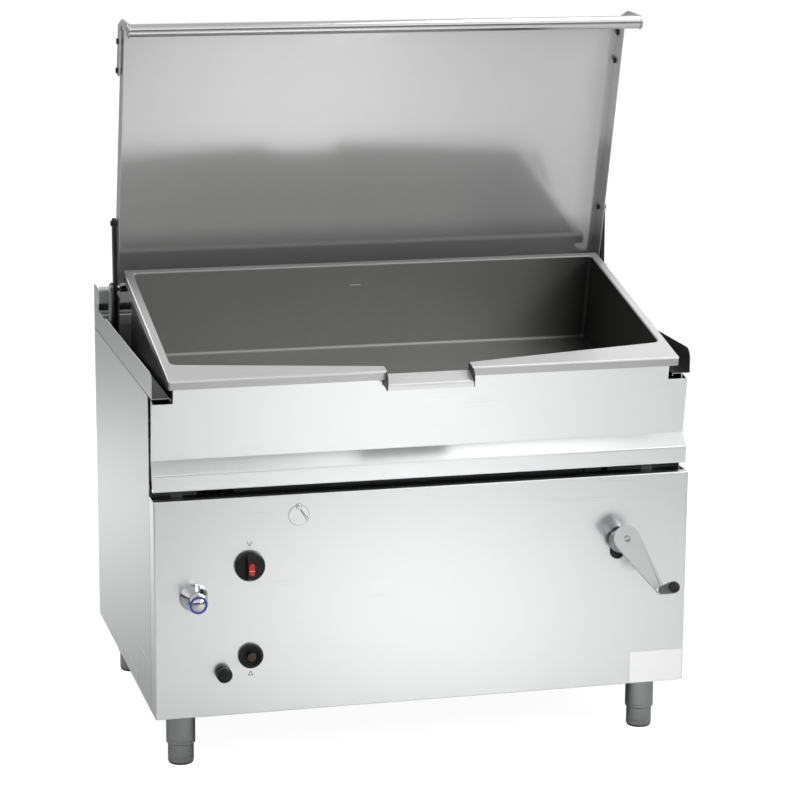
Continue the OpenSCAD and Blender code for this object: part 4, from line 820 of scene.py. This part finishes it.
# Painted reflection: the rim darkens towards its rear flange, where it mirrors the dark lower part of the lid.
painted_shade_ramp(rim_steel, "Y", -0.20, 0.20, 0.42)
well_steel.node_tree.nodes["Principled BSDF"].inputs["Specular IOR Level"].default_value = 0.2
put(joined(pan, *cheeks, base), "pan_shell", "pan",
    [rim_steel, well_steel, outer_steel, skirt_steel, cheek_painted_shade], ["pan_well"], pan_place)
apron = broken_edges("pan_apron", 2.4)
notch_fit, end_fit = (102, 98), (597.5, 598.2)
for vert in apron.verts:
    for drawn, fitted in (notch_fit, end_fit):
        if abs(abs(vert.co.x) - drawn * MM) < 0.1 * MM:
            vert.co.x = math.copysign(fitted * MM, vert.co.x)
put(apron, "pan_apron_sheet", "pan", front_steel, ["pan_apron"], fold=2.4)
folded("pan_subframe", "pan", hidden_steel, fold=1.5)


# Level mark. A short line is cut in the back wall of the well, and bare metal shows in it; the
# well is filled no higher than this.
mark_steel = ground_metal("cut mark", (0.95, 0.95, 0.93), 0.3, across, metal=0.0)
mark_w, mark_h, mark_t = 26, 1.6, 0.4
mark_x, mark_z = -25, 838
mark = slab([(-mark_w / 2, 0), (mark_w / 2, 0), (mark_w / 2, mark_h), (-mark_w / 2, mark_h)], mark_t,
            Matrix.Translation((mark_x, well_rear + 0.05, mark_z)) @ Matrix.Rotation(math.pi / 2, 4, "X"))
put(mark, "level_mark", "pan", mark_steel, (), pan_place)


# Lid. One tray of satin steel sheet hangs on two arms, and plates at its front carry a bar that
# is gripped from either side.
lid_steel = ground_metal("lid steel", (0.78, 0.78, 0.78), 0.12, across, depth=0.000004, spread=0.012, cloud=2,
                         metal=0.45)
# Painted reflection: the lid darkens towards its lower edge, where it mirrors the dark pan.
painted_shade_ramp(lid_steel, "Z", 1.12, 1.03, 0.5)
folded("lid_tray", "lid", lid_steel, fold=2.2)
hinge, lid_raised = (0, 640, 846), math.radians(88.3)
lid_place = (pan_place @ Matrix.Translation(hinge) @ Matrix.Rotation(-lid_raised, 4, "X")
             @ Matrix.Translation([-value for value in hinge]))
bar_y, bar_z, bar_r, bar_half = -6.4, 769.6, 14.5, 585
bar_place = Matrix.Translation((-bar_half, bar_y, bar_z)) @ Matrix.Rotation(math.pi / 2, 4, "Y")
bar_outline = [(0, 0), (12.4, 0), (14, 0.8), (bar_r, 2.4), (bar_r, 2 * bar_half - 2.4),
               (14, 2 * bar_half - 0.8), (12.4, 2 * bar_half), (0, 2 * bar_half)]
bar_steel = ground_metal("polished bar", (0.74, 0.74, 0.75), 0.20, across, spread=0.03)
put(turned(bar_outline, bar_place, 72), "lid_bar", "lid", bar_steel, ["lid_handle"], lid_place)
folded("lid_brackets", "lid", rail_steel, fold=1.2, cut=0.6)
folded("lid_arms", "lid", dark_steel, fold=1.0, cut=0.6)
folded("lid_fasteners", "lid", dark_steel, fold=0.6, cut=0.5)
folded("lid_hinge_pins", "lid", chrome, fold=0.8, cut=0.6)
